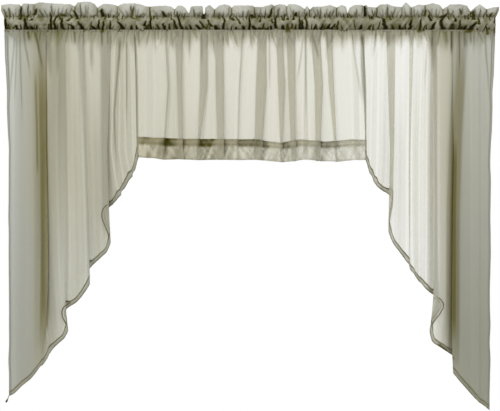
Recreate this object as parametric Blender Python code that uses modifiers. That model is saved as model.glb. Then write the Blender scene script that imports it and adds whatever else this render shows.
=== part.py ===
"""Sheer swag set: a left swag, a short gathered valance and a right swag, each shirred on its own rod pocket
and hung side by side from one straight rod, which is not part of it.

Metres, +Z up. The front faces -Y and X runs to the right. The origin is the middle of the top edge."""

from collections import namedtuple
from math import cos, pi, sin

import bmesh
import bpy

MM = 0.001

# Heights of the heading, as drops below the top edge (mm)
UPPER_STITCH = 37.0
LOWER_STITCH = 70.5
PIECE_GAP = 0.35
PANEL_TOP = LOWER_STITCH + PIECE_GAP
MID_DROP = 355.0

# Where each cloth starts and ends at the rod, at mid drop and at its hem (mm from the middle)
LEFT_EDGE = (-589.0, -580.0, -577.0)
LEFT_SEAM = (-275.5, -270.5, -269.0)
RIGHT_SEAM = (271.0, 278.0, 279.0)
RIGHT_EDGE = (588.5, 577.5, 574.5)
SEAM_HALF_GAP = 0.6
HEADING_HALF_GAP = 0.15

# Thickness of the voile as it hangs, and of its doubled hems (mm)
CLOTH = 1.2
HEM_CLOTH = 1.8
SWAG_HEM = 9.0
VALANCE_HEM = 48.0

# How deep the folds stand: at the stitch line, just below it and far down (mm)
SEAM_DEPTH = 1.2
NECK_DEPTH = 7.0
HEM_DEPTH = 18.0
NECK_LENGTH = 34.0
LAP_START = 12.0
LAP_LATENESS = 4
DEEPENING_LENGTH = 300.0
TURN_RADIUS = 4.0
SEAM_SPREAD = 6.0
SEAM_TURN = 1.5
WAVE_STEPS = 3
TURN_SHARES = (0.0, 0.13, 0.5, 0.87, 1.0)

# Rows of a panel: four close under the stitches (mm below them), then even ones down to the hem
NECK_ROWS = (12.0, 23.0, 36.0, 72.0)
SWAG_ROWS = 6
VALANCE_ROWS = 2

# Gathers of the heading (mm); a phase is how far each uneven gather runs on from the one before (radians)
PLEAT_WIDTH = 8.6
PLEAT_UNEVENNESS = 0.22
PLEAT_PHASE = 2.4
TUFT_PHASE = 1.7
SWAY_UNEVENNESS = 0.35
SWAY_PHASE = 1.9
CREST_SHARPNESS = 3
HEADER_FLARE = 8.0

# A fold: the middle of its lap and the lap's width at three heights, where the hem enters and leaves the
# lap, and how deep it stands. A negative depth means that the cloth arrives behind and leaves in front.
Fold = namedtuple("Fold", "top lap_top mid lap_mid hem lap_hem drop_in drop_out depth")

LEFT_FOLDS = (
    Fold(-552, 0, -552, 0, -552, 0, 920, 912, 0.55),
    Fold(-500, 20, -496, 36, -491, 0, 856, 842, 1.00),
    Fold(-451, 0, -450, 4, -443, 15, 796, 737, 0.80),
    Fold(-407, 12, -396, 6, -386, 2, 683, 637, 0.80),
    Fold(-346, 26, -349, 15, -345, 20, 591, 495, 1.00),
    Fold(-317, 2, -324, 2, -309, 0, 463, 449, 0.50),
    Fold(-294, 0, -290, 0, -284, 0, 417, 406, 0.40),
)
LEFT_CUT = (942.0, 371.0)

RIGHT_FOLDS = (
    Fold(564, 0, 560, 0, 558, 0, 969, 963, 0.45),
    Fold(538, 0, 546, 0, 543, 0, 957, 950, 0.45),
    Fold(504, 39, 494, 28, 488, 0, 898, 850, 1.00),
    Fold(444, 11, 446, 10, 448, 34, 806, 715, 0.90),
    Fold(420, 0, 415, 0, 414, 0, 682, 672, 0.50),
    Fold(388, 11, 383, 5, 382, 0, 643, 628, 0.70),
    Fold(338, 23, 341, 11, 339, 13, 566, 459, 1.00),
    Fold(302, 0, 297, 0, 295, 0, 432, 406, 0.45),
)
RIGHT_CUT = (979.0, 378.0)

# The valance's folds run straight down, so two heights say them.
StraightFold = namedtuple("StraightFold", "top lap_top low lap_low hem depth")

VALANCE_FOLDS = (
    StraightFold(-242, 0, -240, 0, 374, 0.45),
    StraightFold(-202, 0, -204, 0, 378, 0.60),
    StraightFold(-171, 19, -165, 10, 377, 0.80),
    StraightFold(-111, 21, -124, 6, 379, 0.85),
    StraightFold(-74, 19, -70, 15, 378, 0.90),
    StraightFold(-17, 2, -30, 2, 379, 0.70),
    StraightFold(30, 21, 19, 23, 378, 1.00),
    StraightFold(70, 17, 73, 7, 384, 0.65),
    StraightFold(101, 18, 103, 18, 382, 0.80),
    StraightFold(131, 2, 134, 0, 378, 0.50),
    StraightFold(158, 22, 162, 13, 381, 0.85),
    StraightFold(193, 14, 206, 6, 383, 0.70),
    StraightFold(248, 0, 258, 0, 379, 0.50),
)
VALANCE_CUT = (372.0, 378.0)

# Tufts of the ruffle: where each ends, the drop of the notch there, and the drop of its own crest (mm)
Tuft = namedtuple("Tuft", "end notch crest")

LEFT_TUFTS = (
    Tuft(-548, 8, 6),
    Tuft(-419, 10, 1),
    Tuft(-366, 13, -1),
    Tuft(-314, 10, 6),
    Tuft(LEFT_SEAM[0], 5, 3),
)
VALANCE_TUFTS = (
    Tuft(-246, 11, 3),
    Tuft(-180, 17, 9),
    Tuft(-145, 26, 8),
    Tuft(-111, 29, 10),
    Tuft(-83, 17, 7),
    Tuft(-43, 11, 6),
    Tuft(17, 14, 8),
    Tuft(88, 11, 6),
    Tuft(131, 17, 6),
    Tuft(144, 16, 10),
    Tuft(208, 12, 8),
    Tuft(234, 27, 7),
    Tuft(RIGHT_SEAM[0], 9, 7),
)
RIGHT_TUFTS = (
    Tuft(302, 12, 8),
    Tuft(364, 10, 6),
    Tuft(385, 11, 2),
    Tuft(463, 16, 4),
    Tuft(529, 21, 6),
    Tuft(569, 17, 6),
    Tuft(RIGHT_EDGE[0], 14, 13),
)
OUTER_NOTCH = 7.0

# Section of a heading, from the ruffle down: drop, half depth, how far the whole section sways with a
# gather, how far its walls ripple with it, and its share of the flare at the outer ends. In the ruffle a
# drop is a share of the way from its edge to the upper stitch; in the pocket it is in mm.
Level = namedtuple("Level", "drop half_depth sway ripple flare")

HEADING_LEVELS = (
    Level(0.0, 1.2, 4.5, 0.0, 1.0),
    Level(0.5, 1.2, 3.0, 0.0, 0.8),
    Level(1.0, 1.7, 0.6, 0.0, 0.0),
    Level(41.5, 8.0, 0.0, 1.0, 0.0),
    Level(48.0, 10.4, 0.0, 1.7, 0.0),
    Level(55.0, 10.0, 0.0, 1.7, 0.0),
    Level(63.0, 7.0, 0.0, 1.6, 0.0),
    Level(LOWER_STITCH, 2.2, 0.5, 0.0, 0.0),
)

# Clear section of the rod pocket: drop and half depth (mm)
POCKET_PROFILE = ((40.5, 2.5), (43.5, 6.0), (49.0, 7.4), (55.0, 7.0), (62.0, 3.8), (66.5, 1.2))
POCKET_OVERRUN = 5.0
POCKET_STEPS = 4

# Twisted tail of hem thread at the left swag's lowest tip: x, drop and radius of each ring (mm), and how far
# each ring is turned from the one above (sides of the ring)
TAIL_RINGS = (
    (-574.0, 931.0, 0.7),
    (-577.0, 941.0, 1.1),
    (-581.0, 951.0, 1.3),
    (-584.0, 957.0, 3.0),
    (-585.5, 962.0, 1.2),
)
TAIL_SIDES = 6
TAIL_TWIST = 0.4

VOILE = (0.36, 0.355, 0.29)
HEADING_VOILE = (0.30, 0.295, 0.23)


def ease(share):
    share = min(max(share, 0.0), 1.0)
    return share * share * (3.0 - 2.0 * share)


def mix(start, end, share):
    return start + (end - start) * share


def between_heights(values, drop, hem_drop, lateness=1):
    """A size given at the rod, mid drop and hem, read at any drop. Lateness keeps it near its mid size."""
    top, mid, hem = values
    if drop <= MID_DROP:
        return mix(top, mid, (drop - PANEL_TOP) / (MID_DROP - PANEL_TOP))
    share = min((drop - MID_DROP) / max(hem_drop - MID_DROP, 1.0), 1.0)
    return mix(mid, hem, share**lateness)


def clear_scene():
    for obj in list(bpy.data.objects):
        bpy.data.objects.remove(obj, do_unlink=True)


def collection(name, hidden=False):
    made = bpy.data.collections.new(name)
    bpy.context.scene.collection.children.link(made)
    made.hide_render = hidden
    return made


def cloth_material(name, colour):
    material = bpy.data.materials.new(name)
    material.use_nodes = True
    shader = material.node_tree.nodes["Principled BSDF"]
    shader.inputs["Base Color"].default_value = (*colour, 1.0)
    shader.inputs["Roughness"].default_value = 0.85
    shader.inputs["Metallic"].default_value = 0.0
    return material


def finish_object(name, bm, material, home):
    mesh = bpy.data.meshes.new(name)
    bm.to_mesh(mesh)
    bm.free()
    mesh.materials.append(material)
    mesh.shade_smooth()
    obj = bpy.data.objects.new(name, mesh)
    home.objects.link(obj)
    return obj


def loft(bm, rings):
    """Joins closed rings of equal point counts and closes both ends with quads between their two halves."""
    made = [[bm.verts.new(point) for point in ring] for ring in rings]
    sides = len(made[0])
    for ring, following in zip(made, made[1:]):
        for i in range(sides):
            j = (i + 1) % sides
            bm.faces.new((ring[i], following[i], following[j], ring[j]))
    for ring, turned in ((made[0], False), (made[-1], True)):
        for i in range(sides // 2 - 1):
            corners = (ring[i], ring[i + 1], ring[-i - 2], ring[-i - 1])
            bm.faces.new(corners[::-1] if turned else corners)
    bmesh.ops.recalc_face_normals(bm, faces=bm.faces)


def fold_corners(fold, drop, inward):
    """The four points at which the cloth turns through one fold, as x and y in mm."""
    neck = ease((drop - PANEL_TOP) / NECK_LENGTH)
    lapping = ease((drop - PANEL_TOP - LAP_START) / NECK_LENGTH)
    deepening = ease((drop - PANEL_TOP - NECK_LENGTH) / DEEPENING_LENGTH)
    strength = mix(abs(fold.depth) ** 0.5, abs(fold.depth), deepening)
    depth = strength * mix(NECK_DEPTH, HEM_DEPTH, deepening) * neck + SEAM_DEPTH * (1.0 - neck)
    centre = between_heights((fold.top, fold.mid, fold.hem), drop, fold.drop_in)
    lap = between_heights((fold.lap_top, fold.lap_mid, fold.lap_hem), drop, fold.drop_in, LAP_LATENESS)
    reach = inward * mix(-SEAM_SPREAD, lap, lapping) / 2.0
    turn = min(TURN_RADIUS, depth / 2.0)
    lead = inward * mix(SEAM_TURN, turn, neck)
    front = -depth if fold.depth > 0 else depth
    shoulder = front * (1.0 - turn / depth)
    return (
        (centre + reach - lead, front),
        (centre + reach, shoulder),
        (centre, 0.0),
        (centre - reach, -shoulder),
        (centre - reach + lead, -front),
    )


def wave(start, end):
    """Points of the easy curve by which the cloth crosses from one fold to the next, ends left out."""
    shares = [step / WAVE_STEPS for step in range(1, WAVE_STEPS)]
    return [(mix(start[0], end[0], s), mix(start[1], end[1], ease(s))) for s in shares]


def panel_section(panel, drop):
    """The panel's folds cut across at one drop, from its outer edge inwards."""
    outer = between_heights(panel.outer, drop, panel.cut[0])
    inner = between_heights(panel.inner, drop, panel.cut[1])
    points = [(outer, 0.0)]
    for fold in panel.folds:
        corners = fold_corners(fold, drop, panel.inward)
        points += wave(points[-1], corners[0])
        points += corners
    points += wave(points[-1], (inner, 0.0))
    points.append((inner, 0.0))
    return points


def hem_drops(panel):
    """How far down the hem lies at each column of the panel's section."""
    drops = [panel.cut[0]]

    def run_to(target):
        start = drops[-1]
        drops.extend(mix(start, target, step / WAVE_STEPS) for step in range(1, WAVE_STEPS))

    for fold in panel.folds:
        run_to(fold.drop_in)
        drops.extend(mix(fold.drop_in, fold.drop_out, share) for share in TURN_SHARES)
    run_to(panel.cut[1])
    drops.append(panel.cut[1])
    return drops


def row_drops(panel, hem_drop):
    """The drops of a column's rows: close under the stitches, even below, and one at the hem's top."""
    rows = [PANEL_TOP] + [PANEL_TOP + length for length in NECK_ROWS]
    first, last = rows[-1], hem_drop - panel.hem
    rows += [mix(first, last, step / panel.even_rows) for step in range(1, panel.even_rows + 1)]
    return rows + [hem_drop]


Panel = namedtuple("Panel", "folds outer inner cut inward hem even_rows")


def build_panel(name, panel, material, home):
    hems = hem_drops(panel)
    rows = [row_drops(panel, drop) for drop in hems]
    bm = bmesh.new()
    bmesh.ops.create_grid(bm, x_segments=len(hems) - 1, y_segments=len(rows[0]) - 1, size=0.5)
    bm.verts.ensure_lookup_table()
    group = bm.verts.layers.deform.verify()
    for vert in bm.verts:
        column = round((vert.co.x + 0.5) * (len(hems) - 1))
        row = round((0.5 - vert.co.y) * (len(rows[0]) - 1))
        drop = rows[column][row]
        x, y = panel_section(panel, drop)[column]
        vert.co = (x * MM, y * MM, -drop * MM)
        vert[group][0] = 1.0 if row >= len(rows[0]) - 2 else 0.0
    bmesh.ops.triangulate(bm, faces=bm.faces)
    obj = finish_object(name, bm, material, home)
    obj.vertex_groups.new(name="hem")
    solidify = obj.modifiers.new("Cloth thickness", "SOLIDIFY")
    solidify.thickness = HEM_CLOTH * MM
    solidify.vertex_group = "hem"
    solidify.thickness_vertex_group = CLOTH / HEM_CLOTH
    solidify.offset = 0.0
    solidify.use_rim = True
    return obj


def pleat_columns(start, start_notch, tufts):
    """Columns of a heading as x, drop of the ruffle's edge, and side: +1 on a crest, -1 in a trough."""
    columns = []
    left, left_notch = start, start_notch
    for number, tuft in enumerate(tufts):
        width = tuft.end - left
        count = 2 * max(1, round(width / PLEAT_WIDTH / 2.0))
        for step in range(count):
            shift = PLEAT_UNEVENNESS * sin(PLEAT_PHASE * step + TUFT_PHASE * number) if step else 0.0
            share = (step + shift) / count
            notch = left_notch if share < 0.5 else tuft.notch
            edge = mix(tuft.crest, notch, abs(2.0 * share - 1.0) ** CREST_SHARPNESS)
            columns.append((left + width * share, edge, 1 if step % 2 else -1))
        left, left_notch = tuft.end, tuft.notch
    columns.append((left, left_notch, -1))
    return columns


def heading_ring(column, number, count, flares):
    """One upright section of a heading, up its front from the lower stitch and down its back."""
    x, edge, side = column
    strength = 1.0 + SWAY_UNEVENNESS * sin(SWAY_PHASE * number)
    flare = (number == 0) * -flares[0] + (number == count - 1) * flares[1]
    front, back = [], []
    for level in HEADING_LEVELS:
        drop = mix(edge, UPPER_STITCH, level.drop) if level.drop <= 1.0 else level.drop
        middle = -side * level.sway * strength
        half = level.half_depth + side * level.ripple
        place = x + flare * level.flare
        front.append((place * MM, (middle - half) * MM, -drop * MM))
        back.append((place * MM, (middle + half) * MM, -drop * MM))
    return front[::-1] + back


def helper_solid(name, rings, home):
    """A hidden lofted solid that a Boolean cuts away or joins on."""
    bm = bmesh.new()
    loft(bm, rings)
    mesh = bpy.data.meshes.new(name)
    bm.to_mesh(mesh)
    bm.free()
    helper = bpy.data.objects.new(name, mesh)
    helper.hide_render = True
    helper.display_type = "WIRE"
    home.objects.link(helper)
    return helper


def pocket_cutter(name, start, end, home):
    """A straight bar with the clear section of the rod pocket, a little longer than its heading."""
    outline = [(-half, -drop) for drop, half in POCKET_PROFILE]
    outline += [(half, -drop) for drop, half in POCKET_PROFILE[::-1]]
    first, last = start - POCKET_OVERRUN, end + POCKET_OVERRUN
    places = [mix(first, last, step / POCKET_STEPS) for step in range(POCKET_STEPS + 1)]
    return helper_solid(name, [[(x * MM, y * MM, z * MM) for y, z in outline] for x in places], home)


def build_heading(name, start, start_notch, tufts, flares, material, home, cutters):
    columns = pleat_columns(start, start_notch, tufts)
    rings = [heading_ring(column, i, len(columns), flares) for i, column in enumerate(columns)]
    bm = bmesh.new()
    loft(bm, rings)
    obj = finish_object(name, bm, material, home)
    cut = obj.modifiers.new("Rod pocket", "BOOLEAN")
    cut.operation = "DIFFERENCE"
    cut.object = pocket_cutter(name + "_pocket", start, tufts[-1].end, cutters)


def thread_tail(home):
    """The thread tail, joined to the left swag's lowest tip by a union."""
    rings = []
    for number, (x, drop, radius) in enumerate(TAIL_RINGS):
        turns = [2.0 * pi * (side + TAIL_TWIST * number) / TAIL_SIDES for side in range(TAIL_SIDES)]
        rings.append([((x + radius * cos(t)) * MM, radius * sin(t) * MM, -drop * MM) for t in turns])
    return helper_solid("left_swag_tail", rings, home)


def shifted(places, by):
    return tuple(place + by for place in places)


def ending_at(tufts, end):
    """The same tufts with the last one ending at another place."""
    return tufts[:-1] + (tufts[-1]._replace(end=end),)


def main():
    clear_scene()
    home = collection("sheer_swag_set")
    cutters = collection("cutters", hidden=True)
    voile = cloth_material("sheer voile", VOILE)
    gathered = cloth_material("gathered voile", HEADING_VOILE)

    gap = HEADING_HALF_GAP
    left_tufts = ending_at(LEFT_TUFTS, LEFT_SEAM[0] - gap)
    middle_tufts = ending_at(VALANCE_TUFTS, RIGHT_SEAM[0] - gap)
    flare = HEADER_FLARE
    strips = (
        ("left_swag_heading", LEFT_EDGE[0], OUTER_NOTCH, left_tufts, (flare, 0.0)),
        ("valance_heading", LEFT_SEAM[0] + gap, LEFT_TUFTS[-1].notch, middle_tufts, (0.0, 0.0)),
        ("right_swag_heading", RIGHT_SEAM[0] + gap, VALANCE_TUFTS[-1].notch, RIGHT_TUFTS, (0.0, flare)),
    )
    for name, start, start_notch, tufts, flares in strips:
        build_heading(name, start, start_notch, tufts, flares, gathered, home, cutters)

    left = Panel(
        folds=LEFT_FOLDS,
        outer=LEFT_EDGE,
        inner=shifted(LEFT_SEAM, -SEAM_HALF_GAP),
        cut=LEFT_CUT,
        inward=1,
        hem=SWAG_HEM,
        even_rows=SWAG_ROWS,
    )
    right = Panel(
        folds=RIGHT_FOLDS,
        outer=RIGHT_EDGE,
        inner=shifted(RIGHT_SEAM, SEAM_HALF_GAP),
        cut=RIGHT_CUT,
        inward=-1,
        hem=SWAG_HEM,
        even_rows=SWAG_ROWS,
    )
    valance = Panel(
        folds=[
            Fold(f.top, f.lap_top, f.low, f.lap_low, f.low, f.lap_low, f.hem, f.hem, f.depth)
            for f in VALANCE_FOLDS
        ],
        outer=shifted(LEFT_SEAM, SEAM_HALF_GAP),
        inner=shifted(RIGHT_SEAM, -SEAM_HALF_GAP),
        cut=VALANCE_CUT,
        inward=1,
        hem=VALANCE_HEM,
        even_rows=VALANCE_ROWS,
    )
    left_panel = build_panel("left_swag_panel", left, voile, home)
    tail = left_panel.modifiers.new("Thread tail", "BOOLEAN")
    tail.operation = "UNION"
    tail.object = thread_tail(cutters)
    build_panel("valance_panel", valance, voile, home)
    build_panel("right_swag_panel", right, voile, home)


if __name__ == "__main__":
    main()
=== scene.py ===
"""Dresses the sheer swag set: three voile cloths, each with a ruffled header, a rod pocket and a hem.

Run as a script by Blender. The frame is in metres with +Z up, and the front faces -Y. The cloth is worked
out in millimetres: x from the set's middle, y to the back, and the drop below its top edge."""

from collections import namedtuple
from math import atan, hypot, pi

import bpy
import numpy as np
from bpy.props import FloatProperty, FloatVectorProperty, IntProperty, PointerProperty
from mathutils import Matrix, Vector


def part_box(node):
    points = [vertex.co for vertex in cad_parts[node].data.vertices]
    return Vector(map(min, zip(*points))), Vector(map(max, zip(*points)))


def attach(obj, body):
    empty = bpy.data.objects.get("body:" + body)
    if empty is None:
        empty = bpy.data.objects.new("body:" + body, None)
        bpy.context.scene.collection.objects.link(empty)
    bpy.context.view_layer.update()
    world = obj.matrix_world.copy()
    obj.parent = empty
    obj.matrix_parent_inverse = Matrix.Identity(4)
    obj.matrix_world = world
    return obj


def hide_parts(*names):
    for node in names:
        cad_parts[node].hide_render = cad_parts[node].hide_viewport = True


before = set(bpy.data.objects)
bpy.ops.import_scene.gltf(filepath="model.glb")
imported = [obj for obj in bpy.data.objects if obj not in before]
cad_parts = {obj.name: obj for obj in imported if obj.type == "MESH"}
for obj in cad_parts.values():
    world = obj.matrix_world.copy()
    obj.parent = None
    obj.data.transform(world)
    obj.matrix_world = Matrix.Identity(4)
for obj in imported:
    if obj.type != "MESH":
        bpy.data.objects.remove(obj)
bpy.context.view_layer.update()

bl_info = {
    "name": "Sheer swag set",
    "version": (1, 0, 0),
    "blender": (4, 5, 0),
    "location": "View3D > Sidebar > Sheer set",
    "description": "Builds a sheer swag and valance set on its packed solids, with its voile and its stage",
    "category": "Add Mesh",
}

MM = 0.001


def table(kind, *rows):
    """A table whose rows are all of one kind."""
    return tuple(kind(*row) for row in rows)


# Heights, as drops below the top edge (mm). The solids say where the heading ends and the fall starts
LOWER_STITCH = -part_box("valance_heading")[0].z / MM
UPPER_STITCH = 37.0
PANEL_TOP = -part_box("valance_panel")[1].z / MM

# Where each cloth starts and ends at its stitches, at mid drop and at its hem
LEFT_EDGE = (-589.0, -579.0, -578.5)
LEFT_SEAM = (-275.5, -270.5, -269.0)
RIGHT_SEAM = (271.0, 278.0, 279.0)
RIGHT_EDGE = (588.5, 577.5, 576.0)
SEAM_HALF_GAP = 0.6

# How deep the folds stand: at the stitches, just below them and far down
SEAM_DEPTH = 1.2
NECK_DEPTH = 7.0
HEM_DEPTH = 18.0
NECK_LENGTH = 34.0
DEEPENING_LENGTH = 300.0
TURN_RADIUS = 6.0
HEM_TURN_RADIUS = 7.0
HEM_TURN_REACH = 60.0
SEAM_TURN = 1.5
WAVE_STEPS = 3
TURN_SHARES = (0.0, 0.2, 0.5, 0.85, 1.0)

# A fold: the middle of its lap and the lap's width at the stitches, at mid drop and at the hem, where the
# hem enters and leaves the lap, and how deep it stands. Where the width is below 0, it laps over nothing
Fold = namedtuple("Fold", "top lap_top mid lap_mid hem lap_hem drop_in drop_out depth")

LEFT_FOLDS = table(
    Fold,
    (-552, -8, -552, -22, -552, -12, 934, 917, 0.25),
    (-500, 20, -499, 22, -487, -30, 879, 835, 0.45),
    (-451, -8, -450, -8, -442, 17, 803, 732, 0.80),
    (-407, 12, -396, 6, -385, 3, 689, 634, 0.80),
    (-346, 26, -349, 15, -343, 22, 597, 495, 1.00),
    (-317, -4, -324, -8, -308, 0, 465, 451, 0.40),
    (-294, -6, -290, -8, -281, 0, 419, 408, 0.30),
)
VALANCE_FOLDS = table(
    Fold,
    (-242, -8, -240, -12, -240, -12, 374, 374, 0.18),
    (-203, 5, -196, 5, -208, 2, 378, 378, 0.45),
    (-171, 19, -169, 12, -165, 10, 377, 377, 0.52),
    (-111, 17, -111, 18, -127, 2, 379, 379, 0.55),
    (-74, 18, -73, 20, -70, 15, 378, 378, 0.59),
    (-17, 2, -25, 3, -30, 0, 379, 379, 0.45),
    (29, 19, 27, 26, 19, 18, 378, 378, 0.65),
    (70, 15, 76, 17, 75, 3, 384, 384, 0.42),
    (98, 21, 100, 17, 105, 10, 382, 382, 0.52),
    (131, 2, 134, -4, 134, -8, 378, 378, 0.33),
    (157, 22, 165, 20, 163, 10, 381, 381, 0.55),
    (190, 13, 195, 12, 208, 4, 383, 383, 0.45),
    (248, -6, 255, -8, 258, -8, 379, 379, 0.33),
)
RIGHT_FOLDS = table(
    Fold,
    (564, -8, 562, -8, 562, -8, 972, 964, 0.10),
    (538, -8, 539, -8, 541, -10, 959, 945, 0.12),
    (504, 39, 499, 21, 491, 7, 898, 852, 0.60),
    (444, 11, 446, 9, 447, 44, 812, 703, 0.90),
    (420, -4, 415, -8, 414, -5, 686, 671, 0.40),
    (388, 11, 383, 5, 383, -6, 653, 621, 0.70),
    (338, 23, 341, 11, 336, 9, 575, 460, 1.00),
    (302, -4, 297, -6, 294, 0, 436, 410, 0.40),
)

# Outline of the ruffle's top edge. Where it dips between two rises, one tuft ends and the next one starts
EdgePoint = namedtuple("EdgePoint", "x drop")

RUFFLE_EDGE = table(
    EdgePoint,
    (-589, 8), (-574, 5.5), (-554, 6), (-549, 11), (-544, 4), (-518, 5), (-506, 1), (-468, 4), (-432, 6),
    (-420, 11), (-413, 1.5), (-401, 0), (-384, 0), (-374, 4), (-366, 14), (-353, 5.5), (-341, 5), (-324, 7),
    (-317, 10), (-305, 4), (-281, 3), (-266, 5), (-254, 9), (-240, 12), (-221, 10), (-204, 9.5), (-190, 11),
    (-181, 18), (-173, 9), (-166, 8.5), (-156, 14), (-146, 28), (-142, 12), (-137, 10), (-115, 10),
    (-113.5, 14), (-112.5, 27), (-110.5, 30), (-108.5, 27), (-107.5, 14), (-97, 7), (-85, 18), (-74, 8.5),
    (-62, 6), (-50, 8.5), (-44, 14), (-38, 8.5), (7, 9), (11, 13), (31, 12), (44, 9), (52, 5.5), (58, 9.5),
    (70, 6), (82, 7), (88, 11), (94, 5.5), (108, 5.5), (119, 9.5), (131, 17), (137, 9), (143.5, 18),
    (152, 12), (173, 11), (193, 7.5), (208, 14), (220, 7.5), (230, 11), (234, 28), (239, 14), (252, 7),
    (266, 7), (274, 10), (279, 7), (283, 12), (304, 13.5), (312, 7), (330, 5.5), (340, 10), (365, 12.5),
    (371, 3), (375, 1.5), (387, 13), (403, 7), (420, 8), (439, 3), (455, 7.5), (463, 17.5), (481, 6),
    (504, 5.5), (520, 9), (529, 23), (541, 12), (551, 5.5), (567, 17.5), (579, 13), (589, 12),
)

# How far the ruffle's two outer ends lean out, from which x on, over what reach, and down to which drop
FLARE = 8.0
FLARE_FROM = 564.0
FLARE_REACH = 25.0
FLARE_END = 42.0
FLARE_FADE = 24.0

# Half depth of the heading's two layers, down from the upper stitch
PocketLevel = namedtuple("PocketLevel", "drop half_depth")

POCKET = table(
    PocketLevel,
    (UPPER_STITCH, 1.2), (39.0, 4.5), (42.0, 8.0), (48.0, 10.0), (54.0, 9.4), (60.0, 7.2), (66.0, 3.6),
    (LOWER_STITCH, 1.0),
)

# A pressed-in crease of the cloth: the x and drop of points along it from its lower end up, its width,
# and how dark it is painted as shade, from 0 for a shadow to 1 for a slit painted black
Crease = namedtuple("Crease", "path width dark")

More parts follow.
